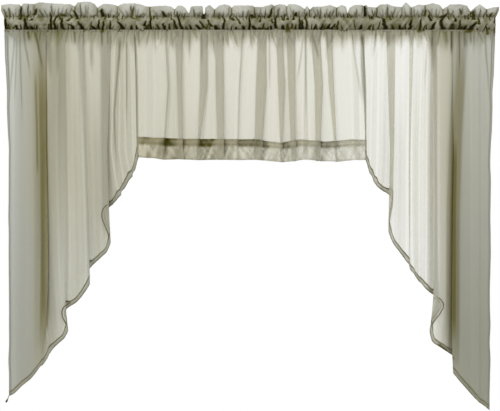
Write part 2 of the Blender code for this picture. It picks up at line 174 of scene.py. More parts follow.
HEADER_SLITS = table(
    Crease,
    # The left swag's header
    (((-586, 66), (-587, 39)), 4.0, 1.0), (((-577, 68), (-579, 54)), 2.2, 0.6),
    (((-557, 69), (-562, 56)), 3.2, 1.0), (((-569, 66), (-563, 57)), 2.2, 0.6),
    (((-550, 68), (-549, 54)), 2.2, 0.7), (((-551, 44), (-549, 10)), 3.0, 0.9),
    (((-532, 69), (-538, 52), (-543, 35)), 4.2, 1.0), (((-519, 67), (-526, 58)), 4.2, 1.0),
    (((-527, 46), (-521, 40)), 3.0, 0.9), (((-518, 32), (-510, 16)), 3.0, 0.9),
    (((-539, 39), (-531, 29)), 2.0, 0.5), (((-510, 58), (-480, 56)), 3.0, 0.5),
    (((-477, 68), (-477, 39), (-479, 26)), 3.2, 1.0),
    (((-464, 69), (-469, 52), (-467, 39), (-458, 29)), 3.2, 1.0), (((-445, 35), (-455, 28)), 4.5, 0.6),
    (((-446, 69), (-451, 60), (-451, 50), (-448, 37)), 3.8, 1.0), (((-437, 47), (-428, 38)), 2.4, 0.8),
    (((-422, 69), (-426, 59), (-438, 53)), 3.4, 1.0), (((-413, 43), (-418, 28), (-426, 20)), 3.0, 0.9),
    (((-400, 67), (-407, 56), (-411, 47)), 4.2, 1.0), (((-371, 68), (-381, 56)), 4.0, 1.0),
    (((-381, 56), (-380, 47)), 2.2, 0.7), (((-363, 68), (-362, 42)), 3.0, 1.0),
    (((-355, 73), (-351, 55), (-349, 45)), 3.0, 1.0), (((-353, 36), (-356, 17)), 4.0, 1.0),
    (((-335, 68), (-335, 45)), 2.8, 0.9), (((-302, 68), (-308, 56), (-318, 47)), 3.8, 1.0),
    (((-285, 67), (-284, 56)), 2.8, 0.9), (((-277, 42), (-289, 33)), 2.2, 0.7),
    (((-284, 34), (-280, 11)), 2.0, 0.6),
    # The valance's header
    (((-271, 70), (-271, 56)), 3.0, 1.0), (((-255, 59), (-247, 46)), 2.6, 1.0),
    (((-252, 69), (-247, 56)), 2.6, 0.9), (((-237, 69), (-239, 55), (-237, 34)), 3.0, 1.0),
    (((-217, 68), (-225, 54)), 3.0, 0.8), (((-202, 36), (-209, 23)), 3.0, 0.9),
    (((-203, 69), (-209, 51)), 3.4, 1.0), (((-193, 66), (-194, 54)), 2.6, 0.9),
    (((-176, 66), (-184, 42)), 3.0, 1.0), (((-162, 67), (-168, 50), (-175, 29)), 3.0, 1.0),
    (((-152, 71), (-153, 58)), 3.2, 0.6), (((-140, 68), (-145, 55)), 2.8, 1.0),
    (((-118, 69), (-129, 55)), 4.0, 1.0), (((-109, 64), (-122, 45)), 2.6, 0.9),
    (((-110, 41), (-111, 28)), 5.5, 1.0), (((-92, 60), (-102, 42)), 2.8, 0.9),
    (((-78, 68), (-83, 56)), 4.8, 1.0), (((-65, 69), (-61, 45), (-66, 34)), 3.0, 1.0),
    (((-70, 42), (-77, 32)), 2.2, 0.6), (((-39, 46), (-46, 37)), 2.8, 0.9),
    (((-22, 55), (-34, 35)), 2.2, 0.7), (((-31, 70), (-35, 60)), 3.2, 1.0),
    (((-16, 71), (-17, 57)), 4.6, 1.0), (((-3, 68), (-1, 55), (-1, 31)), 3.0, 1.0),
    (((9, 38), (2, 30)), 3.2, 0.9), (((14, 68), (7, 57)), 4.6, 1.0), (((25, 71), (21, 62)), 4.6, 1.0),
    (((28, 68), (35, 51)), 2.4, 0.9), (((23, 50), (26, 41)), 2.8, 0.9), (((41, 71), (44, 60)), 3.2, 1.0),
    (((51, 70), (50, 57)), 3.2, 1.0), (((43, 39), (49, 31), (54, 14)), 2.6, 0.9),
    (((64, 65), (60, 52), (60, 41), (65, 31)), 3.0, 1.0), (((53, 52), (53, 40)), 2.4, 0.8),
    (((78, 70), (77, 56)), 4.8, 1.0), (((80, 47), (84, 29)), 2.2, 0.7), (((92, 73), (91, 52)), 4.6, 0.7),
    (((99, 65), (101, 52)), 3.6, 0.6), (((91, 44), (92, 38)), 3.2, 0.9), (((104, 44), (106, 37)), 3.2, 1.0),
    (((110, 34), (110, 25)), 3.0, 1.0), (((120, 70), (119, 39)), 3.4, 1.0),
    (((126, 71), (125, 43)), 3.0, 1.0), (((136, 70), (136, 52), (133, 38), (136, 25)), 2.6, 0.9),
    (((153, 69), (158, 54)), 2.8, 1.0), (((168, 69), (175, 53)), 3.2, 1.0),
    (((175, 71), (181, 55)), 2.4, 0.8), (((184, 66), (192, 53)), 3.2, 1.0),
    (((192, 71), (203, 53)), 3.2, 1.0), (((208, 71), (211, 45)), 2.8, 0.9),
    (((167, 42), (168, 34)), 2.2, 0.8), (((254, 71), (251, 58), (247, 42)), 2.2, 0.6),
    (((262, 72), (266, 55)), 4.6, 1.0),
    # The right swag's header
    (((276.5, 35), (276.5, 8)), 3.2, 1.0), (((282, 71), (288, 56)), 2.8, 0.8),
    (((292, 42), (293, 34)), 3.2, 0.9), (((305, 71), (313, 45)), 2.2, 0.6),
    (((325, 68), (320, 42), (301, 33)), 4.2, 1.0), (((344, 68), (340, 55)), 2.8, 0.9),
    (((359, 69), (360, 55)), 4.2, 1.0), (((383, 71), (386, 42)), 4.2, 1.0),
    (((405, 73), (407, 58), (411, 39)), 3.2, 0.9), (((418, 34), (424, 19)), 3.2, 0.6),
    (((433, 47), (429, 29)), 3.2, 1.0), (((432, 71), (445, 48)), 3.8, 1.0),
    (((463, 70), (460, 57), (458, 44), (473, 26)), 4.2, 1.0), (((456, 39), (464, 31)), 2.2, 0.8),
    (((485, 70), (485, 52)), 7.0, 0.9), (((493, 49), (492, 38)), 3.2, 1.0),
    (((503, 70), (503, 43)), 3.2, 0.9), (((503, 70), (505, 58)), 8.0, 0.9),
    (((511, 71), (518, 56)), 4.2, 1.0), (((524, 73), (534, 57), (542, 48)), 5.0, 1.0),
    (((535, 44), (535, 21)), 4.6, 0.8), (((522, 42), (524, 36)), 2.8, 0.9),
    (((508, 31), (503, 17)), 3.2, 0.5), (((549, 55), (547, 37)), 2.8, 0.9),
    (((570, 78), (568, 65), (565, 55)), 2.2, 1.0), (((574, 37), (578, 26)), 2.8, 0.6),
    (((588, 52), (589, 36)), 4.2, 1.0), (((586, 74), (587, 59)), 1.6, 0.6),
)

# The slits stand open by this much more than they measure flat
SLIT_OPENING = 1.3
HEADER_CREASES = tuple(slit._replace(width=SLIT_OPENING * slit.width) for slit in HEADER_SLITS)

# Creases of the falls, from their lower ends up to the stitches, pressed in and painted with shade
FALL_CREASES = table(
    Crease,
    # The left swag's fall
    (((-576, 210), (-566, 110), (-564, 72)), 2.4, 0.30),
    (((-565, 240), (-560, 130), (-559, 74)), 2.4, 0.28),
    (((-547, 265), (-551, 150), (-552, 74)), 2.4, 0.28),
    (((-528, 170), (-541, 100), (-543, 73)), 2.6, 0.34), (((-530, 92), (-533, 71)), 4.5, 0.60),
    (((-495, 175), (-508, 105), (-517, 71)), 4.5, 0.55),
    (((-482, 170), (-486, 100), (-486, 71)), 9.0, 0.26), (((-460, 170), (-461, 71)), 7.0, 0.24),
    (((-420, 100), (-421, 71)), 5.0, 0.45), (((-381, 160), (-382, 71)), 6.0, 0.22),
    (((-354, 108), (-356, 71)), 4.0, 0.45), (((-341, 106), (-341, 71)), 3.4, 0.36),
    (((-318, 395), (-323, 336), (-325, 269), (-321, 216), (-311, 90)), 4.0, 0.34),
    (((-295, 290), (-295, 95)), 4.0, 0.24),
    (((-271, 374), (-272, 320), (-272, 200), (-276, 140), (-277, 71)), 2.4, 0.60),
    # The valance's fall
    (((-266, 108), (-268, 71)), 3.2, 0.45), (((-227, 120), (-230, 71)), 3.0, 0.24),
    (((-186, 112), (-188, 71)), 3.0, 0.26), (((-146, 136), (-144, 71)), 3.2, 0.28),
    (((-116, 145), (-116, 76)), 3.2, 0.26), (((-85, 132), (-89, 71)), 3.2, 0.28),
    (((-52, 110), (-54, 71)), 3.0, 0.24), (((-30, 108), (-41, 71)), 3.2, 0.36),
    (((4, 110), (0, 71)), 3.0, 0.22), (((47, 200), (46, 71)), 2.6, 0.32),
    (((64, 114), (51, 71)), 2.8, 0.42), (((113, 188), (122, 130), (127, 86)), 2.6, 0.38),
    (((135, 252), (134.5, 74)), 2.6, 0.42), (((165, 134), (149, 78)), 3.2, 0.36),
    (((183, 140), (184, 71)), 3.6, 0.36), (((222, 120), (220, 71)), 3.0, 0.22),
    (((272, 248), (264, 206), (250, 116), (245, 74)), 3.0, 0.36),
    (((275, 258), (272, 210), (269, 150), (268, 78)), 5.0, 0.75),
    # The right swag's fall
    (((295, 130), (303, 73)), 3.0, 0.28), (((333, 112), (331, 71)), 5.5, 0.36),
    (((364, 122), (363, 71)), 3.2, 0.34), (((418, 195), (425, 100)), 2.8, 0.28),
    (((441, 155), (440, 71)), 9.0, 0.24), (((474, 102), (469, 71)), 6.0, 0.50),
    (((484, 120), (484, 71)), 4.5, 0.55), (((503, 170), (502, 71)), 4.5, 0.50),
    (((516, 112), (515, 71)), 5.0, 0.40), (((574, 208), (566, 120), (565, 78)), 2.8, 0.32),
)

# Painted shade of the deep folds far down the swags, where the light that comes through is brown.
# They press nothing in
DEEP_SHADES = table(
    Crease,
    (((-499, 860), (-499, 500), (-503, 120)), 24, 0.13),
    (((-495.5, 830), (-494.6, 739), (-492, 590), (-494, 400), (-498, 140)), 13, 0.37),
    (((-493.5, 800), (-494.5, 560), (-494, 250)), 9, 0.41),
    (((-509, 420), (-511, 300), (-515, 170)), 4, 0.34),
    (((489, 850), (490, 500), (496, 322), (504, 177), (506, 90)), 15.5, 0.28),
    (((488, 820), (489, 500), (492, 300)), 7, 0.48),
    (((476, 790), (477, 500), (484, 322), (492, 180)), 8, 0.15),
    (((487, 856), (471, 839), (451, 818)), 4.5, 0.70),
    # Painted shade on laps that show more clearly than their layers alone make them
    (((-344, 580), (-349, 330), (-346, 90)), 9, 0.09), (((333, 560), (341, 330), (338, 90)), 8.5, 0.13),
)

# Turned-back stretches of the swags' hems, which show through the cloth in front of them: x and drop
HEM_LINES = (
    (
        (-336, 576), (-339, 556), (-345, 541), (-351, 527), (-354.5, 517), (-354.5, 506), (-351, 496),
        (-342, 487), (-335, 482),
    ),
    (
        (-436, 787), (-438, 775), (-444, 764), (-449, 754), (-450, 742), (-446.5, 732), (-439, 726),
        (-431, 721),
    ),
    (
        (431, 787), (435, 774), (443, 761), (453.5, 748), (462.5, 734), (464, 724), (456, 713), (443, 704),
    ),
)

# How far each of the hem's two stitch lines lies from there and how dark it is, and a place far from both
HEM_LINE_PAIR = ((0.0, 0.45), (6.5, 0.22))
FAR = 500.0

# How full each place of the falls hangs: 0 is one layer as it hangs in the middle, 1 is fully gathered
Fullness = namedtuple("Fullness", "x share")

FULLNESS = table(
    Fullness,
    (-590, 1.0), (-485, 1.0), (-425, 0.7), (-305, 0.55), (-275, 0.45), (-200, 0.3), (-60, 0.1), (80, -0.1),
    (250, -0.9), (305, -1.4), (370, -1.7), (415, -1.3), (440, -0.3), (460, 0.5), (482, 0.9), (590, 1.0),
)

# Painted shade: how much darker the threads are painted from side to side, high up and at the hem, where
# less light reaches them
Dimness = namedtuple("Dimness", "x high low")

DIMNESS = table(
    Dimness,
    (-590, 0.04, 0.12), (-568, 0.0, 0.10), (-550, 0.09, 0.14), (-520, 0.14, 0.14), (-496, 0.15, 0.14),
    (-486, 0.03, 0.02), (-477, 0.16, 0.09), (-460, 0.20, 0.0), (-425, 0.04, 0.0), (-300, 0.05, 0.03),
    (-240, 0.03, 0.03), (-60, 0.0, 0.0), (425, 0.0, 0.0), (450, 0.07, 0.0), (475, 0.07, 0.10),
    (500, 0.08, 0.21), (590, 0.08, 0.23),
)

# How cool and pale the threads look from side to side
Coolness = namedtuple("Coolness", "x share")

COOLNESS = table(
    Coolness,
    (-590, 1.0), (-548, 0.8), (-512, 0.25), (-425, 0.1), (470, 0.1), (510, 0.7), (590, 0.9),
)

# Drop of the top of the valance's doubled hem along it, and where its turned strip lies in shadow
HemTop = namedtuple("HemTop", "x drop")

VALANCE_HEM_TOP = table(
    HemTop,
    (-272, 324), (-170, 329), (10, 330), (72, 339), (120, 330), (187, 336), (245, 330), (279, 331),
)
Span = namedtuple("Span", "start end")

HEM_SHADOWS = table(
    Span,
    (-256, -248), (-209, -172), (-121, -86), (-30, 40), (82, 96), (164, 208),
)

# One cloth: its folds, how far its hem hangs out between them, its sides outside and inside, the drop of its
# hem at both, the drop at which its folds' mid sizes hold, how late the laps change below it, the side to
# which its folds follow on (1 is right), the pitch of its fine gathers, its columns and its seed
Cloth = namedtuple("Cloth", "name folds sags outer inner cut mid_drop lateness inward pitch columns seed")


def shifted(places, by):
    return tuple(place + by for place in places)


LEFT_SWAG = Cloth(
    name="left_swag", folds=LEFT_FOLDS, sags=(2, 4, 0, 8, 0, 5, 0, 0), outer=LEFT_EDGE,
    inner=shifted(LEFT_SEAM, -SEAM_HALF_GAP), cut=(945.0, 371.0), mid_drop=355.0, lateness=4, inward=1,
    pitch=8.0, columns=400, seed=11,
)
VALANCE = Cloth(
    name="valance", folds=VALANCE_FOLDS, sags=(0,) * 14, outer=shifted(LEFT_SEAM, SEAM_HALF_GAP),
    inner=shifted(RIGHT_SEAM, -SEAM_HALF_GAP), cut=(372.0, 378.0), mid_drop=200.0, lateness=1, inward=1,
    pitch=7.0, columns=640, seed=23,
)
RIGHT_SWAG = Cloth(
    name="right_swag", folds=RIGHT_FOLDS, sags=(0, 0, 0, 0, 4, 0, 0, 4, 0), outer=RIGHT_EDGE,
    inner=shifted(RIGHT_SEAM, SEAM_HALF_GAP), cut=(979.0, 378.0), mid_drop=355.0, lateness=6, inward=-1,
    pitch=8.0, columns=400, seed=37,
)

# The twisted tail of hem thread at the left swag's tip: x, drop and radius of each ring
TailRing = namedtuple("TailRing", "x drop radius")

TAIL = table(
    TailRing,
    (-574.0, 931.0, 0.9), (-577.0, 941.0, 1.1), (-579.5, 948.0, 1.2), (-581.5, 953.0, 1.5),
    (-583.5, 956.0, 2.7), (-584.5, 959.0, 3.0), (-585.5, 961.5, 1.6),
)

# Channels of a sheet's grid of points
PLACE = slice(0, 3)
BACK = slice(3, 6)
FLAT = slice(6, 8)
# The first channel holds the painted shade of creases, slits, folds and gathers, and the darker stitched
# hems
SHADE_AND_STITCHING, FULL, COOL, LINE = 8, 9, 10, 11
CHANNELS = 12
ATTRIBUTES = (("shade_and_stitching", SHADE_AND_STITCHING), ("full", FULL), ("cool", COOL), ("line", LINE))


class SheerSettings(bpy.types.PropertyGroup):
    """Sizes and colours of the set that a user would change."""

    cover: FloatProperty(
        name="Thread cover", description="Share of one flat layer of the voile that its threads cover",
        default=0.75, min=0.05, max=0.95, subtype="FACTOR",
    )
    gathered_cover: FloatProperty(
        name="Gathered cover", description="The same share where fine gathers lie in many layers",
        default=0.97, min=0.05, max=1.0, subtype="FACTOR",
    )
    thickness: FloatProperty(
        name="Voile thickness", description="Thickness of one layer", default=0.0003, min=0.0001, max=0.002,
        unit="LENGTH",
    )
    thread_pitch: FloatProperty(
        name="Thread pitch", description="Distance from one thread of the weave to the next",
        default=0.0005, min=0.0002, max=0.003, unit="LENGTH",
    )
    thread_colour: FloatVectorProperty(
        name="Thread colour", description="Pale sage of the lit threads", default=(0.68, 0.665, 0.55),
        min=0.0, max=1.0, subtype="COLOR",
    )
    # Also paints the highlights on the ruffle's bulges and along the pocket's ridge
    cool_colour: FloatVectorProperty(
        name="Cool thread colour",
        description="Paler grey that the threads take on at the outer sides and in the doubled hem",
        default=(0.66, 0.67, 0.63), min=0.0, max=1.0, subtype="COLOR",
    )
    # Painted shade: the swags' deep folds are painted in this browner sage, and the valance's hem takes it
    # on towards its left
    warm_colour: FloatVectorProperty(
        name="Warm thread colour", description="Browner sage of the threads in the swags' deep folds",
        default=(0.74, 0.655, 0.40), min=0.0, max=1.0, subtype="COLOR",
    )
    # Painted shade: the olive of folds, creases and gathers, which also darkens the stitched hems
    olive_colour: FloatVectorProperty(
        name="Fold colour", description="Brown olive of light that has passed through several layers",
        default=(0.15, 0.137, 0.018), min=0.0, max=1.0, subtype="COLOR",
    )
    # Painted shade: the near black of the tightest gathers
    slit_colour: FloatVectorProperty(
        name="Slit colour", description="Near black inside the tightest gathers",
        default=(0.012, 0.010, 0.003), min=0.0, max=1.0, subtype="COLOR",
    )
    swag_hem: FloatProperty(
        name="Swag hem", description="Width of the swags' rolled hem", default=0.0105, min=0.003, max=0.02,
        unit="LENGTH",
    )
    hem_gap: FloatProperty(
        name="Hem gap", description="Distance between the layers of a hem", default=0.0008, min=0.0003,
        max=0.003, unit="LENGTH",
    )
    rows: IntProperty(
        name="Rows", description="Rows of points between the gathers and the hem of a swag", default=68,
        min=8, max=120,
    )
    floor_drop: FloatProperty(
        name="Floor drop", description="How far the floor lies below the set's top edge", default=1.2,
        min=1.0, max=3.0, unit="LENGTH",
    )
    view_distance: FloatProperty(
        name="Camera distance", description="From the camera to the cloth", default=4.0, min=1.0, max=20.0,
        unit="LENGTH",
    )
    surroundings: FloatProperty(
        name="Surroundings", description="Brightness of the light that comes from all sides", default=0.56,
        min=0.0, max=3.0,
    )
    key_power: FloatProperty(
        name="Key light", description="Power of the large soft light above, at the front", default=46.0,
        min=0.0, unit="POWER",
    )
    fill_power: FloatProperty(
        name="Fill light",
        description="Power of the soft light at the right, which lightens the folds' shaded sides",
        default=11.0, min=0.0, unit="POWER",
    )
    back_power: FloatProperty(
        name="Back light", description="Power of the soft light behind the cloth", default=34.0, min=0.0,
        unit="POWER",
    )


def settings():
    return bpy.context.scene.sheer_set


def ease(share):
    share = np.clip(share, 0.0, 1.0)
    return share * share * (3.0 - 2.0 * share)


def mix(start, end, share):
    return start + (end - start) * share


NOISE_KNOTS = 4096


def noise(places, period, seed):
    """Smooth repeatable noise from -1 to 1 along one direction."""
    steps = np.asarray(places, float) / period
    low = np.floor(steps).astype(int)
    knots = np.random.default_rng(seed).uniform(-1.0, 1.0, NOISE_KNOTS)
    return mix(knots[low % NOISE_KNOTS], knots[(low + 1) % NOISE_KNOTS], ease(steps - low))


def read_table(rows, x, column=1):
    """Reads a column of a table between its rows, whose places stand in its first column."""
    places, values = zip(*((row[0], row[column]) for row in rows))
    return np.interp(x, places, values)


def between_heights(cloth, values, drop, hem_drop, lateness=1):
    """A size given at the stitches, mid drop and hem, read at any drop. Lateness holds the mid size."""
    top, mid, hem = values
    upper = mix(top, mid, (drop - PANEL_TOP) / (cloth.mid_drop - PANEL_TOP))
    share = np.clip((drop - cloth.mid_drop) / max(hem_drop - cloth.mid_drop, 1.0), 0.0, 1.0)
    return np.where(drop <= cloth.mid_drop, upper, mix(mid, hem, share**lateness))


def fold_corners(cloth, fold, drop):
    """The five points at which the cloth turns through one fold, as x and y."""
    neck = ease((drop - PANEL_TOP) / NECK_LENGTH)
    deepening = ease((drop - PANEL_TOP - NECK_LENGTH) / DEEPENING_LENGTH)
    strength = mix(fold.depth**0.5, fold.depth, deepening)
    depth = strength * mix(NECK_DEPTH, HEM_DEPTH, deepening) * neck + SEAM_DEPTH * (1.0 - neck)
    centre = between_heights(cloth, (fold.top, fold.mid, fold.hem), drop, fold.drop_in)
    widths = (fold.lap_top, fold.lap_mid, fold.lap_hem)
    lap = between_heights(cloth, widths, drop, fold.drop_in, cloth.lateness)
    reach = cloth.inward * lap / 2.0
    near_hem = ease((drop - fold.drop_out + HEM_TURN_REACH) / HEM_TURN_REACH)
    turn = np.minimum(mix(TURN_RADIUS, HEM_TURN_RADIUS, near_hem), depth / 2.0)
    lead = mix(SEAM_TURN, turn, neck)
    straight = -depth * np.maximum(-lap, 0.0) / (np.maximum(-lap, 0.0) + 2.0 * lead)
    shoulder = mix(turn - depth, straight, np.clip(-lap / 8.0, 0.0, 1.0))
    lead = cloth.inward * lead
    return (
        (centre + reach - lead, -depth),
        (centre + reach, shoulder),
        (centre, 0.0 * depth),
        (centre - reach, -shoulder),
        (centre - reach + lead, depth),
    )


def section_keys(cloth, drop):
    """The key points of the cloth's section at each drop: x and y, with a key in each row."""
    outer = between_heights(cloth, cloth.outer, drop, cloth.cut[0])
    inner = between_heights(cloth, cloth.inner, drop, cloth.cut[1])
    level = 0.0 * drop
    points = [(outer, level)]
    shares = [step / WAVE_STEPS for step in range(1, WAVE_STEPS)]

    def cross_to(end):
        start = points[-1]
        points.extend((mix(start[0], end[0], s), mix(start[1], end[1], ease(s))) for s in shares)

    for fold in cloth.folds:
        corners = fold_corners(cloth, fold, drop)
        cross_to(corners[0])
        points.extend(corners)
    cross_to((inner, level))
    points.append((inner, level))
    return np.array([p[0] for p in points]), np.array([p[1] for p in points])


def turn_shares(fold):
    """Shares of the hem's drop across a fold that lie before each corner, even where it doesn't overlap."""
    if fold.lap_hem > 0:
        return TURN_SHARES
    turn = min(HEM_TURN_RADIUS, HEM_DEPTH * fold.depth / 2.0)
    first = turn / (2.0 * turn - fold.lap_hem)
    return (0.0, first, 0.5, 1.0 - first, 1.0)


def hem_keys(cloth):
    """How far down the hem lies at each key point."""
    drops = [cloth.cut[0]]

    def run_to(target, sag):
        start = drops[-1]
        shares = [step / WAVE_STEPS for step in range(1, WAVE_STEPS)]
        drops.extend(mix(start, target, share) + 4.0 * sag * share * (1.0 - share) for share in shares)

    for fold, sag in zip(cloth.folds, cloth.sags):
        run_to(fold.drop_in, sag)
        drops.extend(mix(fold.drop_in, fold.drop_out, share) for share in turn_shares(fold))
    run_to(cloth.cut[1], cloth.sags[-1])
    drops.append(cloth.cut[1])
    return np.array(drops)


def smooth_read(x, y, places):
    """Reads a smooth curve through the key points. x and y have a key in each row, then the drops' own rows
    and columns. places gives each column's place among the keys."""
    step = np.maximum(np.hypot(np.diff(x, axis=0), np.diff(y, axis=0)), 1e-4)
    low = np.minimum(places.astype(int), len(x) - 2)
    share = (places - low)[:, None]
    columns = np.arange(len(places))
    length = step[low, :, columns]
    read = []
    for values in (x, y):
        slope = np.diff(values, axis=0) / step
        inner = (slope[:-1] * step[1:] + slope[1:] * step[:-1]) / (step[:-1] + step[1:])
        slopes = np.concatenate([slope[:1], inner, slope[-1:]])
        start, end = values[low, :, columns], values[low + 1, :, columns]
        leave, arrive = slopes[low, :, columns] * length, slopes[low + 1, :, columns] * length
        curve = (
            start * (1.0 + 2.0 * share) * (1.0 - share) ** 2
            + leave * share * (1.0 - share) ** 2
            + end * share**2 * (3.0 - 2.0 * share)
            + arrive * share**2 * (share - 1.0)
        )
        read.append(curve.T)
    return read


# The drop at which the cloths' flat widths are measured, and in how many steps
REFERENCE_DROP = 225.0
WIDTH_STEPS = 2400


def even_places(cloth):
    """Places of the columns among the key points, evenly spaced along the cloth, and their flat places."""
    fine = np.linspace(0.0, len(hem_keys(cloth)) - 1, WIDTH_STEPS)
    x, y = smooth_read(*section_keys(cloth, np.full((1, len(fine)), REFERENCE_DROP)), fine)
    walked = np.concatenate([[0.0], np.cumsum(np.hypot(np.diff(x[0]), np.diff(y[0])))])
    flat = np.linspace(0.0, walked[-1], cloth.columns)
    return np.interp(flat, walked, fine), flat


def smoothed(values, reach):
    """A running mean over the columns, with the ends kept."""
    padded = np.concatenate([np.full(reach, values[0]), values, np.full(reach, values[-1])])
    mean = np.convolve(padded, np.ones(2 * reach + 1) / (2 * reach + 1), "valid")
    share = np.minimum(np.arange(len(values)), np.arange(len(values))[::-1]) / reach
    return mix(values, mean, np.clip(share, 0.0, 1.0))


# How deep a crease is for its width
CREASE_DEPTH = 1.3

# How creases are pressed in: the shares of their length over which their upper and lower ends fade, whether
# they are slits, which widen downwards and show black, and how sharply their sides end
Press = namedtuple("Press", "upper lower slit sharpness")

SLITS = Press(0.35, 0.1, True, 4)
SOFT_CREASES = Press(0.1, 0.6, False, 2)
SHADES = Press(0.3, 0.25, False, 6)


def pressed(creases, x, drop, press):
    """How far creases press each point back, how dark the shade painted in them is, and how far it is drawn
    aside.
    """
    shape = np.broadcast(x, drop).shape
    x, drop = np.broadcast_to(x, shape), np.broadcast_to(drop, shape)
    left, right = x.min(axis=0), x.max(axis=0)
    back, dark, aside = np.zeros(shape), np.zeros(shape), np.zeros(shape)
    for crease in creases:
        drops, places = zip(*sorted((point[1], point[0]) for point in crease.path))
        reach = 4.0 * crease.width
        near = np.flatnonzero((right > min(places) - reach) & (left < max(places) + reach))
        if not len(near):
            continue
        part = np.s_[:, near[0] : near[-1] + 1]
        high, low = drops[0], drops[-1]
        length = max(low - high, 4.0)
        steep = (max(places) - min(places)) / length
        level = drop[part]
        away = (x[part] - np.interp(level, drops, places)) / hypot(1.0, steep)
        upper, lower = max(press.upper * length, 1.5), max(press.lower * length, 1.5)
        ends = ease((level - high + 0.4 * upper) / upper) * ease((low + 0.4 * lower - level) / lower)
        width = crease.width
        if press.slit:
            away = away + 0.3 * width * noise(level + 37.0 * places[0], 4.5, 5)
            width = width * mix(0.8, 1.8, np.clip((level - high) / length, 0.0, 1.0))
            core = np.exp(-((away / (0.66 * width)) ** press.sharpness))
            shadow = np.maximum(core, 0.42 * np.exp(-((away / (1.15 * width)) ** 2)))
        else:
            shadow = np.exp(-((away / (0.8 * width)) ** press.sharpness))
        valley = ends * np.exp(-np.abs(away) / (0.5 * width))
        back[part] += CREASE_DEPTH * width * valley
        dark[part] = np.maximum(dark[part], crease.dark * ends * shadow)
        aside[part] -= 0.35 * away * valley
    return back, dark, aside


def line_distance(x, drop):
    """How far to the right of the nearest hem line at its height each point lies, in mm."""
    nearest = np.full(x.shape, FAR)
    for path in HEM_LINES:
        drops, places = zip(*sorted((drop_there, x_there) for x_there, drop_there in path))
        slope = (np.interp(drop + 3.0, drops, places) - np.interp(drop - 3.0, drops, places)) / 6.0
        away = (x - np.interp(drop, drops, places)) / np.hypot(1.0, slope)
        away = np.where((drop > drops[0]) & (drop < drops[-1]), away, np.copysign(FAR, away))
        nearest = np.where(np.abs(away) < np.abs(nearest), away, nearest)
    return nearest


def fine_gathers(cloth, line, reach_up, reach_down, darkest, widest):
    """Fine uneven creases along a stitch line, between the listed ones."""
    rng = np.random.default_rng(cloth.seed + int(line) + int(reach_down))
    start, end = sorted((cloth.outer[0], cloth.inner[0]))
    count = int((end - start) / cloth.pitch)
    steps = rng.uniform(0.4, 1.6, count)
    middles = start + (end - start) * (np.cumsum(steps) - steps / 2.0) / steps.sum()
    creases = []
    for x in middles:
        up, down = reach_up * rng.uniform(0.25, 1.0), reach_down * rng.uniform(0.2, 1.0)
        lean_up, lean_down = rng.normal(0.0, 0.3, 2)
        path = ((x + lean_down * down, line + down), (x, line), (x + lean_up * up, line - up))
        creases.append(Crease(path, widest * rng.uniform(0.5, 1.0), darkest * rng.uniform(0.2, 1.0) ** 1.5))
    return creases


def tuft_ends():
    """Places of the dips between the ruffle's tufts."""
    rows = zip(RUFFLE_EDGE, RUFFLE_EDGE[1:], RUFFLE_EDGE[2:])
    dips = [b for a, b, c in rows if b.drop > a.drop and b.drop > c.drop]
    return [RUFFLE_EDGE[0].x] + [dip.x for dip in dips] + [RUFFLE_EDGE[-1].x]


def tuft_creases(cloth):
    """A slit down from each dip between the tufts, and creases that fan out from each tuft's gathers."""
    rng = np.random.default_rng(cloth.seed + 90)
    ends = tuft_ends()
    creases = []
    for x in ends[1:-1]:
        drop = float(read_table(RUFFLE_EDGE, x))
        creases.append(Crease(((x, UPPER_STITCH), (x, drop - 4.0)), 2.6, rng.uniform(0.15, 0.55)))
    for left, right in zip(ends, ends[1:]):
        middle, width = (left + right) / 2.0, right - left
        count = max(1, int(width / 10.0))
        for share in (np.arange(count) + rng.uniform(0.1, 0.9, count)) / count:
            top = left + width * share
            base = middle + 0.7 * (top - middle) + rng.normal(0.0, 2.0)
            high = min(float(read_table(RUFFLE_EDGE, top)) + rng.uniform(1.0, 18.0), UPPER_STITCH - 8.0)
            path = ((base, UPPER_STITCH + 1.0), (top, high))
            creases.append(Crease(path, rng.uniform(2.2, 4.2), rng.uniform(0.08, 0.42)))
    return creases


# How far the cloths lie over each other at the seams between them, and how far back the valance lies there
SEAM_OVERLAP = 1.5
SEAM_REACH = 14.0
SEAM_BACK = 2.0

# Rows of the heading, as shares of the ruffle's height and as numbers of rows down the pocket
RUFFLE_SHARES = (0.0, 0.02, 0.05, 0.09, 0.14, 0.2, 0.27, 0.34, 0.41, 0.48, 0.56, 0.64, 0.72, 0.8, 0.88, 0.95)
POCKET_ROWS = 22
BACK_POCKET_ROWS = 8

# How far the ruffle's edge wavers, its pleats sway and its tufts stand off, and how far the ruffle and its
# tufts puff out
EDGE_WAVER = 0.5
PLEAT_SWAY = 1.6
TUFT_OFFSET = 1.8
RUFFLE_PUFF = 1.6
TUFT_PUFF = 2.6

# The ridge along the pocket's middle, which is also painted paler, as a highlight
RIDGE_DROP = 50.5
RIDGE_WIDTH = 1.7
RIDGE_HEIGHT = 0.5

# The deepest that slits press the header in
DEEPEST_SLIT = 7.0

# How far back the heading stands from the fall's folds
BACK_SHIFT = 2.2


